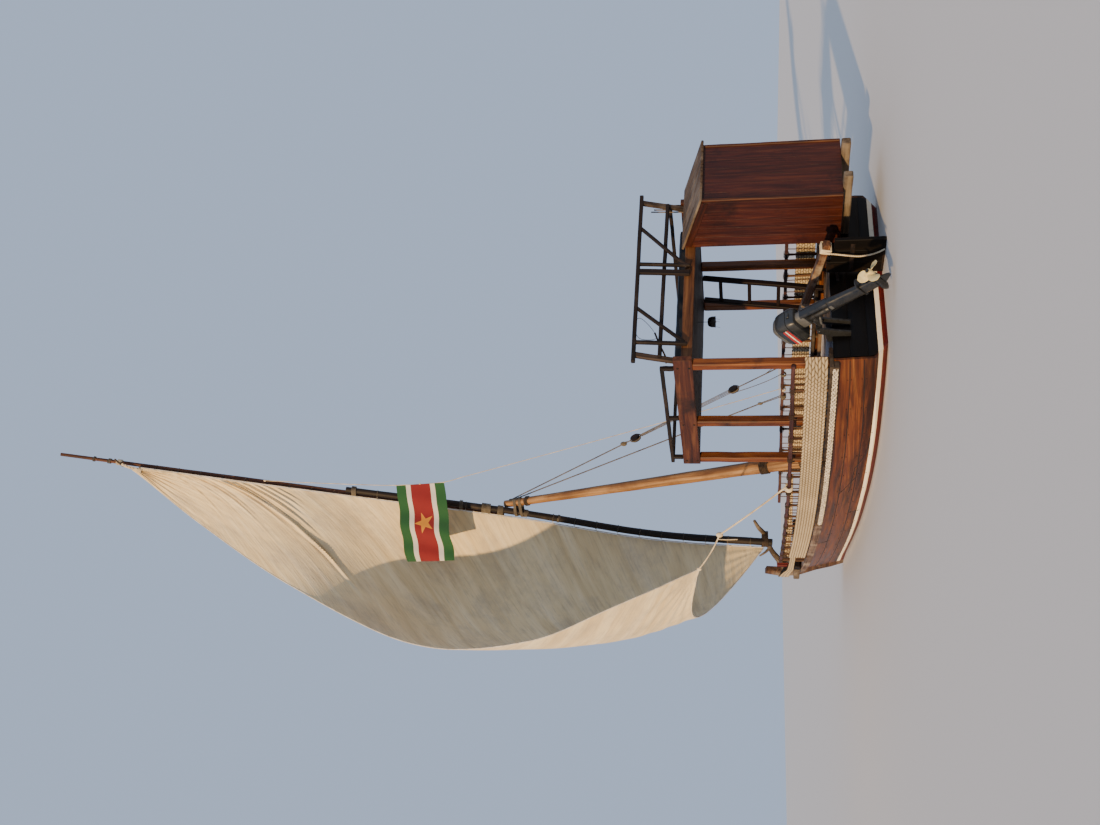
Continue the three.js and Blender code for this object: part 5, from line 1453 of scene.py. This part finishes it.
def peak(points):
    """The sail's gathered head, its tail of rope and the toggle that holds it to the yard."""
    shape = Shape(155)
    head, tie = points[-1].mean(0), yard_at(0.912) + [0, 0.05, 0]
    shape.rope(curve([head, (head + tie) / 2 + [0, 0.012, 0], tie], 20), 0.02)
    spot = yard_at(0.915) + [POLE_OUT, 0, 0]
    shape.lashing(spot, spot + yard_heading(0.915) * 0.07, 0.0275, 0.008, 4)
    shape.lashing(points[-4].mean(0), head, 0.03, 0.006, 5)
    shape.beam([spot + [-0.17, 0.05, 0.01], spot + [0.03, 0.04, -0.01]], 0.022, 0.022, finish=1)
    shape.pole(sagging(spot + [-0.02, 0.045, 0], head + [-0.06, 0.02, -0.02], 0.03), 0.004, 6)
    shape.make("peak_lashing", ["rope_pale", "grey_wood"], body="sail_rig")


# Flag and its halyard, which is tied to the starboard handrail
FLAG_FOOT, FLAG_HEAD = np.array([3.89, 0.12, 5.33]), np.array([3.985, 0.12, 6.03])
FLAG_WAY = unit([0.56, 0.83, 0])
HALYARD_TOP, HALYARD_LOW, FALL_END = (3.885, 0.12, 7.9), (3.76, 0.12, 5.05), (3.4, -1.01, 0.9)


def flag_surface():
    s, t = np.meshgrid(np.linspace(0, 1, 110), np.linspace(0, 1, 60), indexing="ij")
    out = np.array([FLAG_WAY[1], -FLAG_WAY[0], 0])
    sway = 0.045 * s * np.sin(7 * s + 0.6 * t) + 0.03 * np.sin(17 * s + 2.5 * t) * (0.25 + s)
    sway = sway + 0.008 * ripple(s * 9, t * 6, 3)
    base = FLAG_FOOT + (FLAG_HEAD - FLAG_FOOT) * t[..., None] - np.array([0, 0, 0.135]) * s[..., None]
    points = base + FLAG_WAY * (0.009 + FLY * s)[..., None] + out * sway[..., None]
    points[..., 2] -= 0.012 * np.sin(9 * s) * (1 - t) * s
    return points, out * 0.0012, grid(s * FLY, t * HOIST, 0)


def flag():
    points, thick, grain = flag_surface()
    shape = Shape(157)
    shape.skin(points - thick, points + thick, grain=grain, keep_grain=True, tone=0.5)
    sheet = shape.make("flag_cloth_sheet", "flag_cloth", body="sail_rig",
                       replaces=["flag"], smooth=80)
    line = Shape(159)
    line.rope(curve([HALYARD_TOP, (3.95, 0.12, 7.0), FLAG_HEAD, FLAG_FOOT, HALYARD_LOW], 120), 0.005)
    for point in (FLAG_HEAD, (FLAG_HEAD + FLAG_FOOT) / 2, FLAG_FOOT):
        line.ball(point + FLAG_WAY * 0.004, (0.009, 0.009, 0.014))
    line.ball(HALYARD_TOP, (0.014, 0.014, 0.02))
    line.make("flag_halyard_rope", "rope_pale", body="sail_rig", replaces=["flag_halyard"])
    lower = Shape(161)
    lower.rope(sagging(HALYARD_LOW, FALL_END, 0.04, 60), 0.0045)
    lower.lashing((3.385, -1.0115, 0.865), (3.42, -1.006, 0.865), RAIL_TUBE, 0.004, 4)
    piece = lower.make("flag_fall", "rope_pale", body=None)
    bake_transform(piece)


def block_and_strop(shape, centre, along, size):
    """A wooden block: two cheeks, its sheave and a rope strop round it."""
    side = unit(np.cross(along, [0.0, 1.0, 0.15]))
    for middle in (centre + side * size * 0.22, centre - side * size * 0.22):
        shape.loft([middle - side * size * 0.1, middle + side * size * 0.1],
                   circle(14) * [size * 0.42, size * 0.62], up=along, finish=1)
    shape.loft([centre - side * size * 0.1, centre + side * size * 0.1], circle(14) * size * 0.36,
               up=along, finish=2)
    turn = np.linspace(0, 2 * np.pi, 30)[:, None]
    loop = centre + along * np.cos(turn) * size * 0.72 + np.cross(side, along) * np.sin(turn) * size * 0.5
    shape.loft(loop, circle(6) * size * 0.09, up=side)


def mast_turns(shape, height):
    """The stay's turns round the mast's head, on its starboard half, clear of the swinging yard."""
    angle = np.linspace(-np.pi - 0.3, 0.3, 24)
    tuck = np.clip((np.abs(angle + np.pi / 2) - np.pi / 2) / 0.3, 0, 1)
    reach = 0.0575 - 0.025 * tuck
    for lift in (0.03, 0.013, -0.004, -0.021):
        turn = grid(reach * np.cos(angle), reach * np.sin(angle), lift)
        middle = mast_at(height + lift) * [1, 1, 0] + [0, 0, height]
        shape.loft(middle + turn, circle(7) * 0.008, up=UPWARD)


# Each stay's height on the mast and its place on the starboard handrail
STAYS = {"main": (4.5, (3.51, -0.976, 0.905)), "back": (4.56, (3.0, -1.078, 0.905))}


def main_stay(shape, top, foot):
    """One rope that ends in an eye, and two ends from there to the rail."""
    eye = top + (foot - top) * 0.93
    shape.rope([top, eye], 0.009)
    shape.ball(eye, (0.02, 0.02, 0.034))
    for way in (-1, 1):
        shape.rope([eye + [way * 0.01, 0, 0], foot + [way * 0.016, 0, -0.02]], 0.006)


def back_stay(shape, top, foot):
    """A rope with a knot, a tackle of two blocks and four parts, and its falls to the rail."""
    span, along = foot - top, unit(foot - top)
    knot = top + span * 0.44
    shape.rope([top, top + span * 0.47], 0.009)
    shape.ball(knot, (0.035, 0.03, 0.045))
    shape.pole(curve([knot, knot + [-0.06, 0.02, 0.0], knot + [-0.09, 0.02, -0.06]], 10), 0.006, 6)
    block_and_strop(shape, top + span * 0.485, along, 0.105)
    block_and_strop(shape, top + span * 0.84, along, 0.10)
    side = unit(np.cross(along, [0, 1.0, 0.15]))
    for offset in (-0.03, -0.01, 0.012, 0.034):
        shape.rope([top + span * 0.505 + side * offset * 0.6, top + span * 0.825 + side * offset], 0.005)
    shape.rope([top + span * 0.86, foot + [0, 0, -0.01]], 0.008)
    shape.rope(sagging(top + span * 0.83 + side * 0.05, (3.13, -1.045, 0.9), 0.05), 0.005)
    shape.rope(sagging(top + span * 0.95, (2.86, -1.098, 0.9), 0.02), 0.005)
    shape.lashing((3.115, -1.0525, 0.865), (3.15, -1.045, 0.865), RAIL_TUBE, 0.005, 4)


def stays():
    for name, (height, foot) in STAYS.items():
        top, foot = mast_at(height) + [0, -0.065, 0], np.array(foot)
        shape = Shape(int(height * 100))
        (main_stay if name == "main" else back_stay)(shape, top, foot)
        shape.lashing(foot + [-0.03, -0.006, -0.041], foot + [0.03, 0.006, -0.041], RAIL_TUBE, 0.006, 5)
        mast_turns(shape, height)
        shape.make(f"{name}_stay_rope", ["rope_grey", "black_iron", "cast_metal"],
                   replaces=[f"{name}_stay"])


def sheet_rope():
    """The rope from the clew down to the port handrail, with its knot and tail."""
    clew, knot, end = np.array([(3.43, 1.55, 1.88), (2.86, 1.39, 1.625), (2.07, 1.215, 0.90)])
    shape = Shape(165)
    shape.rope(sagging(clew, knot, 0.02, 30), 0.009)
    shape.ball(knot, (0.035, 0.03, 0.04))
    shape.ball(clew, (0.022, 0.022, 0.03))
    shape.rope(sagging(knot, end, 0.015, 60), 0.011)
    tail = [knot, knot + [0.06, 0.02, 0.02], knot + [0.08, 0.02, -0.05], knot + [0.07, 0.02, -0.2]]
    shape.rope(curve(tail, 30), 0.007)
    shape.lashing((2.04, 1.22, 0.866), (2.11, 1.219, 0.866), RAIL_TUBE, 0.009, 4)
    piece = shape.make("sheet_rope", "rope_pale", body=None)
    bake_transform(piece)


def bow_crossbeam():
    """Weathered timbers laid across the bow; the aftermost one is near black, which is painted shade for
    the beam's shaded aft face.
    """
    shape = Shape(163)
    for aft, fore, finish in ((5.74, 5.83, 0), (5.832, 5.98, 1), (5.982, 6.13, 1)):
        timber = grid((aft + fore) / 2, (-0.373, 0.373), 0.663)
        shape.beam(timber, fore - aft, 0.084, wear=0.008, finish=finish)
    shape.make("bow_crossbeam_wood", ["dark_wood", "grey_wood"],
               replaces=["bow_crossbeam"])
    post = Shape(164)
    post.post(6.09, 0.17, (0.706, 0.93), 0.05, 0.05, wear=0.006)
    post.make("bow_post", "red_wood")


BOW_SPAR = [(6.56, 0.0, 0.80), (6.30, 0.0, 0.89), (6.0, 0.0, 1.0), (5.72, -0.01, 1.07),
            (5.5, -0.015, 1.11), (5.3, -0.01, 1.19), (5.1, 0.0, 1.24)]
BOW_SPAR_BRANCH = [(5.9, 0.0, 1.03), (5.98, 0.03, 1.09), (6.06, 0.05, 1.17)]
BOW_SPAR_RADII = [0.04, 0.045, 0.036, 0.034, 0.03, 0.02]


def bow_spar():
    """A crooked grey spar over the bow that the yard's foot is lashed to."""
    shape = Shape(167)
    shape.pole(curve(BOW_SPAR, 50), BOW_SPAR_RADII, 14, 0.12)
    shape.pole(curve(BOW_SPAR_BRANCH, 12), [0.024, 0.012], 10, 0.1)
    shape.lashing((6.42, 0, 0.85), (6.33, 0, 0.88), 0.042, 0.007, 6, finish=1)
    shape.make("bow_spar", ["grey_wood", "rope_dark"])
    tie = Shape(169)
    for lift in (0, 0.03, 0.06):
        spar, yard_foot = (5.52, -0.015, 1.08 + lift), (5.517, 0.112, 1.06 + lift)
        bind(tie, spar, yard_foot, (0.035, 0.054), 0.007, 2, UPWARD)
    piece = tie.make("yard_foot_lashing", "rope_dark", body=None)
    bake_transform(piece)


# Rudder and tiller
RUDDER_BOARDS = ((-0.185, -0.036, -0.483), (-0.345, -0.187, -0.483), (-0.49, -0.347, -0.42))


def steering():
    shape = Shape(171)
    for aft, fore, low in RUDDER_BOARDS:
        line = grid((aft + fore) / 2, 0, (low, 0.48 + 0.2 * (aft + 0.44)))
        shape.beam(line, fore - aft, 0.044, up=TO_PORT, wear=0.005)
    for z in (0.30, -0.36, 0.0):
        for side in (1, -1):
            shape.beam(grid((-0.07, -0.44), side * 0.0235, z), 0.004, 0.04, finish=1)
            for x in (-0.12, -0.26, -0.4):
                shape.ball((x, side * 0.0265, z), (0.009, 0.004, 0.009), finish=1)
    shape.make("rudder_boards", ["rudder_wood", "black_iron"], body="rudder_body",
               replaces=["rudder"])
    bar = Shape(173)
    bar.beam([(-0.44, 0, 0.535), (0.75, 0, 0.775)], 0.085, 0.07, wear=0.01, wobble=0.0025)
    bar.make("tiller_bar", "tiller_wood", body="rudder_body", replaces=["tiller"])
    tiller_hitch()


def tiller_hitch():
    """Three turns of rope round the tiller's squared end."""
    shape = Shape(175)
    way = unit([1.19, 0, 0.24])
    turn = np.linspace(0, 2 * np.pi, 40)
    across, above = [np.clip(wave * 1.5, -1, 1)[:, None] for wave in (np.cos(turn), np.sin(turn))]
    loop = across * 0.0525 * np.array(TO_PORT) + above * 0.045 * np.cross(way, [0, -1.0, 0])
    for k in range(3):
        shape.loft(way * (k * 0.02 - 0.02) + [-0.37, 0, 0.549] + loop, circle(8) * 0.009, up=way)
    shape.make("tiller_hitch", "rope_pale", body="rudder_body")


# Outboard motor, drawn upright round its tilt pivot as the frame's was
MOTOR_AT, MOTOR_TILT = np.array([-0.075, 0.7, 0.62]), math.radians(40)
STEER_X, SHAFT_Z = -0.15, -0.776


def tipped(points):
    c, s = math.cos(MOTOR_TILT), math.sin(MOTOR_TILT)
    x, y, z = np.asarray(points, float).T
    return MOTOR_AT + grid(x * c + z * s, y, z * c - x * s)


def on_shaft(points):
    return tipped(np.asarray(points) + [0, 0, SHAFT_Z])


def stacked(shape, sections, power, **words):
    """A casing from level sections: height, aft and fore ends, half-width. power squares its corners."""
    turn = np.linspace(0, 2 * np.pi, 32, endpoint=False)
    c, s = [np.sign(wave) * abs(wave) ** power for wave in (np.cos(turn), np.sin(turn))]
    z, aft, fore, half = np.array(sections).T[..., None]
    shape.tube(grid((aft + fore) / 2 + c * ((fore - aft) / 2), s * half, z), **words)


def slab(shape, outline, axis, low, high, **words):
    """A flat plate: an outline of points, made thick from low to high along an axis."""
    rings = np.insert(np.array([outline, outline], float), axis, [[low], [high]], axis=2)
    shape.tube(rings, **words)


COWL_LOW = [(0.081, -0.27, -0.045, 0.085), (0.085, -0.285, -0.03, 0.1), (0.115, -0.305, 0.008, 0.111),
            (0.15, -0.308, 0.014, 0.112), (0.158, -0.308, 0.014, 0.112), (0.161, -0.302, 0.008, 0.106)]
COWL_HIGH = [(0.163, -0.302, 0.008, 0.106), (0.166, -0.308, 0.016, 0.112), (0.22, -0.307, 0.021, 0.111),
             (0.26, -0.303, 0.015, 0.108), (0.285, -0.295, 0.009, 0.103), (0.291, -0.287, 0.004, 0.098)]
COWL_LID = [(0.291, -0.285, 0.002, 0.096), (0.296, -0.288, 0.004, 0.098), (0.322, -0.276, -0.004, 0.088),
            (0.338, -0.262, -0.035, 0.075), (0.344, -0.24, -0.07, 0.055)]
# The leg's sections are measured fore and aft from the steering axis
LEG_NECK = [(0.001, -0.11, 0.058, 0.052), (0.012, -0.112, 0.06, 0.055), (0.06, -0.112, 0.06, 0.055),
            (0.0795, -0.112, 0.06, 0.055)]
LEG_HOUSING = [(0.03, -0.113, -0.043, 0.05), (-0.06, -0.113, -0.043, 0.049), (-0.2, -0.108, -0.043, 0.046),
               (-0.262, -0.104, -0.043, 0.044)]
LEG_CASING = [(-0.238, -0.103, 0.047, 0.04), (-0.25, -0.105, 0.049, 0.045), (-0.3, -0.102, 0.047, 0.044),
              (-0.315, -0.098, 0.044, 0.041), (-0.56, -0.079, 0.041, 0.034), (-0.6, -0.079, 0.042, 0.032),
              (-0.7, -0.072, 0.044, 0.026), (-0.776, -0.066, 0.044, 0.02)]
SPLASH_PLATE = [(-0.08, 0), (-0.11, 0.036), (-0.19, 0.046), (-0.27, 0.048), (-0.288, 0.024), (-0.29, 0),
                (-0.288, -0.024), (-0.27, -0.048), (-0.19, -0.046), (-0.11, -0.036)]
SKEG = [(-0.095, -0.79), (-0.215, -0.79), (-0.2, -0.88), (-0.19, -0.9), (-0.165, -0.9)]
COWL_STRIPES = ((0.178, 0.196, 2), (0.2, 0.214, 3), (0.218, 0.236, 2))


def cowl():
    shape = Shape(181)
    for sections, power, finish in ((COWL_LOW, 0.4, 0), (COWL_HIGH, 0.42, 0), (COWL_LID, 0.5, 1)):
        stacked(shape, sections, power, finish=finish)
    for x in (-0.24, -0.18, -0.12, -0.06):
        shape.beam(grid(x, (-0.05, 0.05), 0.343), 0.018, 0.005)
    x = np.linspace(-0.24, -0.01, 12)
    for low, high, finish in COWL_STRIPES:
        for side in (1, -1):
            half = 0.1125 - 0.004 * ((x + 0.13) / 0.12) ** 4
            face = grid(x, side * half, low + 0.04 * (x + 0.24))
            band = np.array([face, face + [0, 0, high - low]])
            shape.skin(band, band - [0, side * 0.003, 0], finish=finish)
    shape.beam(grid(-0.314, (-0.03, 0.03), 0.13), 0.012, 0.03)
    shape.make("cowl_shell", ["cowl_grey", "cowl_cap", "stripe_red", "stripe_white"],
               body="motor_steer_body", replaces=["motor_cowl"], smooth=30,
               move=tipped)


def leg():
    shape = Shape(183)
    shape.pole(grid(STEER_X, 0, (-0.242, 0.02)), 0.018, 16)
    for sections, power, finish in ((LEG_NECK, 0.6, 1), (LEG_HOUSING, 0.6, 0), (LEG_CASING, 0.7, 0)):
        stacked(shape, np.array(sections) + [0, STEER_X, STEER_X, 0], power, finish=finish)
    slab(shape, SPLASH_PLATE, 2, -0.61, -0.602, finish=2)
    t = np.linspace(0, 1, 18)
    gearcase = np.clip(0.037 * np.sqrt(np.clip(t * 4, 0.02, 1)), 0, 0.037)
    shape.pole(grid(-0.025 - 0.226 * t, 0, SHAFT_Z), gearcase, 20)
    for side in (1, -1):
        shape.beam(grid(STEER_X - 0.03, (side * 0.043, side * 0.047), -0.275), 0.05, 0.03, finish=1)
    slab(shape, SKEG, 1, -0.005, 0.005)
    shape.make("leg_casing", ["leg_black", "cowl_cap", "cast_metal"], body="motor_steer_body",
               replaces=["motor_leg"], move=tipped)


BLADES, BLADE_PITCH, BLADE_LONG = 3, 0.23, 0.105


def propeller():
    shape = Shape(185)
    shape.pole(grid(-0.258 - 0.077 * np.linspace(0, 1, 10), 0, 0), [0.032, 0.033, 0.031, 0.028, 0.025], 20)
    shape.pole(grid((-0.335, -0.343), 0, 0), 0.017, 12, finish=1)
    shape.pole(grid((-0.343, -0.352), 0, 0), 0.011, 6, finish=1)
    share, edge = np.linspace(0, 1, 16)[:, None], np.linspace(-1, 1, 15)[None, :]
    reach = 0.02 + 0.112 * share
    twist = np.arctan(BLADE_PITCH / (2 * np.pi * reach))
    half = BLADE_LONG * np.sqrt(np.clip(1 - (2 * share - 0.9) ** 2 * 0.8, 0.05, 1)) / 2
    half = half * np.sqrt(np.clip((1.02 - share) / 0.16, 0, 1))
    thick = 0.0045 * (1 - edge**2) * (1 - 0.6 * share) + 0.0008
    middle = grid(-0.2965 + edge * half * np.sin(twist), edge * half * np.cos(twist), reach)
    for blade in range(BLADES):
        angle = 2 * np.pi * blade / BLADES
        c, s = math.cos(angle), math.sin(angle)
        turn = np.array([[1, 0, 0], [0, c, s], [0, -s, c]])
        shape.skin(*[(middle + grid(side * thick, 0, 0)) @ turn for side in (-1, 1)])
    shape.make("propeller_fan", ["cream_enamel", "cast_metal"], body="propeller_body",
               replaces=["propeller"], move=on_shaft)


def brackets():
    swivel = Shape(187)
    x = STEER_X
    swivel.pole(grid(0, (-0.048, 0.048), 0), 0.032, 24)
    swivel.beam(grid((x + 0.02, -0.012), 0, -0.035), 0.078, 0.05, wear=0.012)
    swivel.pole(grid(x, 0, (-0.23, -0.222, -0.018, -0.008)), [0.03, 0.034, 0.034, 0.03], 24)
    for z in (-0.19, -0.06):
        swivel.pole(grid(x, 0, (z - 0.012, z + 0.012)), 0.038, 24)
    for y in (0.03, -0.03):
        swivel.beam([(x + 0.03, y, -0.1), (-0.03, y, -0.045)], 0.012, 0.02, finish=1)
    swivel.make("swivel_casting", ["cast_metal", "cowl_cap"], body="motor_tilt_body",
                replaces=["swivel_bracket"], move=tipped)
    dressed("clamp_bracket", "clamp_casting", "cast_metal", 0.003, slot="cast_alloy")
    screws = Shape(189)
    for side in (-1, 1):
        spot = np.array([0.06, MOTOR_AT[1] + side * 0.045, 0.478])
        screws.pole([spot, spot + [0.075, 0, 0]], 0.008, 12)
        screws.pole([spot + [-0.01, 0, 0], spot + [0.004, 0, 0]], 0.02, 16)
        screws.beam([spot + [0.072, -0.032, -0.01], spot + [0.072, 0.032, 0.01]], 0.009, 0.012, finish=1)
        screws.ball(MOTOR_AT + [0, side * 0.08, 0], (0.016, 0.007, 0.016))
    screws.make("clamp_screws", ["cast_metal", "cowl_cap"])


def motor():
    cowl()
    leg()
    propeller()
    brackets()


# Cushions: node, piece, material, size of the mesh's steps and how far a point may swell
CUSHIONS = [
    ("port_cushion_aft", "port_aft_seat_pad", "cushion_cloth", 0.011, 0.016),
    ("port_cushion_fore", "port_fore_seat_pad", "cushion_cloth", 0.011, 0.016),
    ("starboard_cushion_aft", "starboard_aft_seat_pad", "cushion_cloth", 0.011, 0.016),
    ("starboard_cushion_fore", "starboard_fore_seat_pad", "cushion_cloth", 0.011, 0.016),
    ("deck_cushion", "deck_pad", "cushion_cloth", 0.012, 0.016),
    ("roof_mattress", "roof_pad", "tarp_cloth", 0.02, 0.014),
]
SHRINK, PRESSURE, CLOTH_FRAMES = 0.01, 4.0, 20


def set_vertices(mesh, points):
    mesh.vertices.foreach_set("co", points.astype(np.float32).ravel())


def bake(piece):
    """Apply what the modifiers make of the mesh."""
    evaluated = piece.evaluated_get(bpy.context.evaluated_depsgraph_get())
    mesh = bpy.data.meshes.new_from_object(evaluated)
    old = piece.data
    piece.modifiers.clear()
    piece.data = mesh
    bpy.data.meshes.remove(old)


def swell(piece):
    """The cloth simulation: the form is blown up like a bag."""
    settings = piece.modifiers.new("cloth", "CLOTH").settings
    settings.use_pressure = True
    settings.uniform_pressure_force = PRESSURE
    settings.effector_weights.gravity = 0
    for number in range(1, CLOTH_FRAMES + 1):
        bpy.context.scene.frame_set(number)
    bake(piece)
    bpy.context.scene.frame_set(1)


def seams(points, low, high):
    """Buttoned dimples along the top and a pinched seam round the sides."""
    size, middle = high - low, (low + high) / 2
    waist = np.exp(-(((points[:, 2] - middle[2]) / 0.006) ** 2))
    inward = points[:, :2] - middle[:2]
    inward /= np.maximum(np.linalg.norm(inward, axis=1, keepdims=True), 1e-6)
    points[:, :2] -= inward * (waist * 0.005)[:, None]
    long_axis = int(size[1] > size[0])
    count = max(2, int(size[long_axis] / 0.42))
    top = points[:, 2] > middle[2]
    for i in range(count):
        button = middle.copy()
        button[long_axis] = low[long_axis] + size[long_axis] * (i + 0.5) / count
        away = np.linalg.norm(points[:, :2] - button[:2], axis=1)
        points[top, 2] -= 0.014 * np.exp(-((away[top] / 0.035) ** 2))
    points[:, 2] += 0.0015 * ripple(points[:, 0] * 30, points[:, 1] * 26, 4)
    return points


def cushion(node, name, look, step, cap):
    """A padded form: a slightly smaller copy of the frame's solid, swelled by the cloth simulation."""
    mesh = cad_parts[node].data.copy()
    piece = bpy.data.objects.new(name, mesh)
    bpy.context.collection.objects.link(piece)
    low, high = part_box(node)
    middle, size = np.array((low + high) / 2), np.array(high - low)
    set_vertices(mesh, middle + (vertex_array(mesh) - middle) * (1 - 2 * SHRINK / size))
    remesh = piece.modifiers.new("remesh", "REMESH")
    remesh.mode, remesh.voxel_size = "VOXEL", step
    bake(piece)
    start = vertex_array(piece.data)
    swell(piece)
    moved = vertex_array(piece.data) - start
    length = np.linalg.norm(moved, axis=1, keepdims=True)
    points = start + moved * np.minimum(1, cap / np.maximum(length, 1e-6))
    points[:, 2] = np.maximum(points[:, 2], low.z + 0.001)
    set_vertices(piece.data, seams(points, np.array(low), np.array(high)))
    mesh = piece.data
    bpy.data.objects.remove(piece)
    mesh.name = name
    mesh.materials.clear()
    mesh.materials.append(LOOKS[look])
    dress(mesh, name, node, slot="cushion_cloth", smooth=70)


# Tiller rope, as long as its route
TILLER_ROUTE = [(-0.37, 0.047, 0.549), (-0.37, 0.059, 0.548), (-0.368, 0.071, 0.52), (-0.358, 0.074, 0.45),
                (-0.334, 0.074, 0.33), (-0.322, 0.074, 0.24), (-0.334, 0.074, 0.16), (-0.366, 0.074, 0.08),
                (-0.412, 0.074, 0.014)]


def tiller_rope():
    shape = Shape(191)
    path = shape.rope(curve(TILLER_ROUTE, 200), 0.009, tone=0.9)
    piece = shape.make("tiller_rope_end", "rope_pale", body="rudder_body",
                       replaces=["tiller_rope"])


# Floor and light
SUN = {"azimuth": 115, "height": 12, "strength": 6.0, "angle": 1.2, "colour": "ffd599"}
SKY = {"colour": "bed0ee", "strength": 0.85}


def add_floor():
    bpy.ops.mesh.primitive_plane_add(size=80, location=(0, 0, -0.002))
    floor = bpy.context.object
    floor.name = "floor"
    floor.data.materials.append(Look("floor").finish("d5d3cf", 0.85))


def add_light():
    world = bpy.data.worlds.new("studio")
    bpy.context.scene.world = world
    world.use_nodes = True
    background = world.node_tree.nodes["Background"]
    background.inputs["Color"].default_value = colour(SKY["colour"])
    background.inputs["Strength"].default_value = SKY["strength"]
    sun = bpy.data.lights.new("sun", "SUN")
    sun.energy = SUN["strength"]
    sun.angle = math.radians(SUN["angle"])
    sun.color = colour(SUN["colour"])[:3]
    lamp_object = bpy.data.objects.new("sun", sun)
    bpy.context.collection.objects.link(lamp_object)
    azimuth, height = math.radians(SUN["azimuth"]), math.radians(SUN["height"])
    flat = math.cos(height)
    towards = Vector((math.cos(azimuth) * flat, math.sin(azimuth) * flat, math.sin(height)))
    lamp_object.rotation_euler = towards.to_track_quat("Z", "Y").to_euler()


def cushions():
    for row in CUSHIONS:
        cushion(*row)


def keel_and_stem():
    dressed("keel_and_stem", "keel_and_stem_wood", "stem_wood", 0.008, slot="dark_wood")


def mast_thwart():
    dressed("mast_thwart", "mast_thwart_wood", "deck_wood", 0.004, slot="dark_wood", along="y")


add_camera()
for build in (tiller_rope, mast, yards, sail, flag, stays, sheet_rope, bow_spar, steering, motor,
              cushions, topsides, bottom, transom, keel_and_stem, rails, handrails, mats, bow_mat,
              canopy, roof, roof_rail, seat_back, roof_cable, ladder, lamp, closet_walls,
              closet_front, closet_roof_and_floor, decks, ribs, benches, mast_thwart, bow_crossbeam):
    build()
add_floor()
add_light()
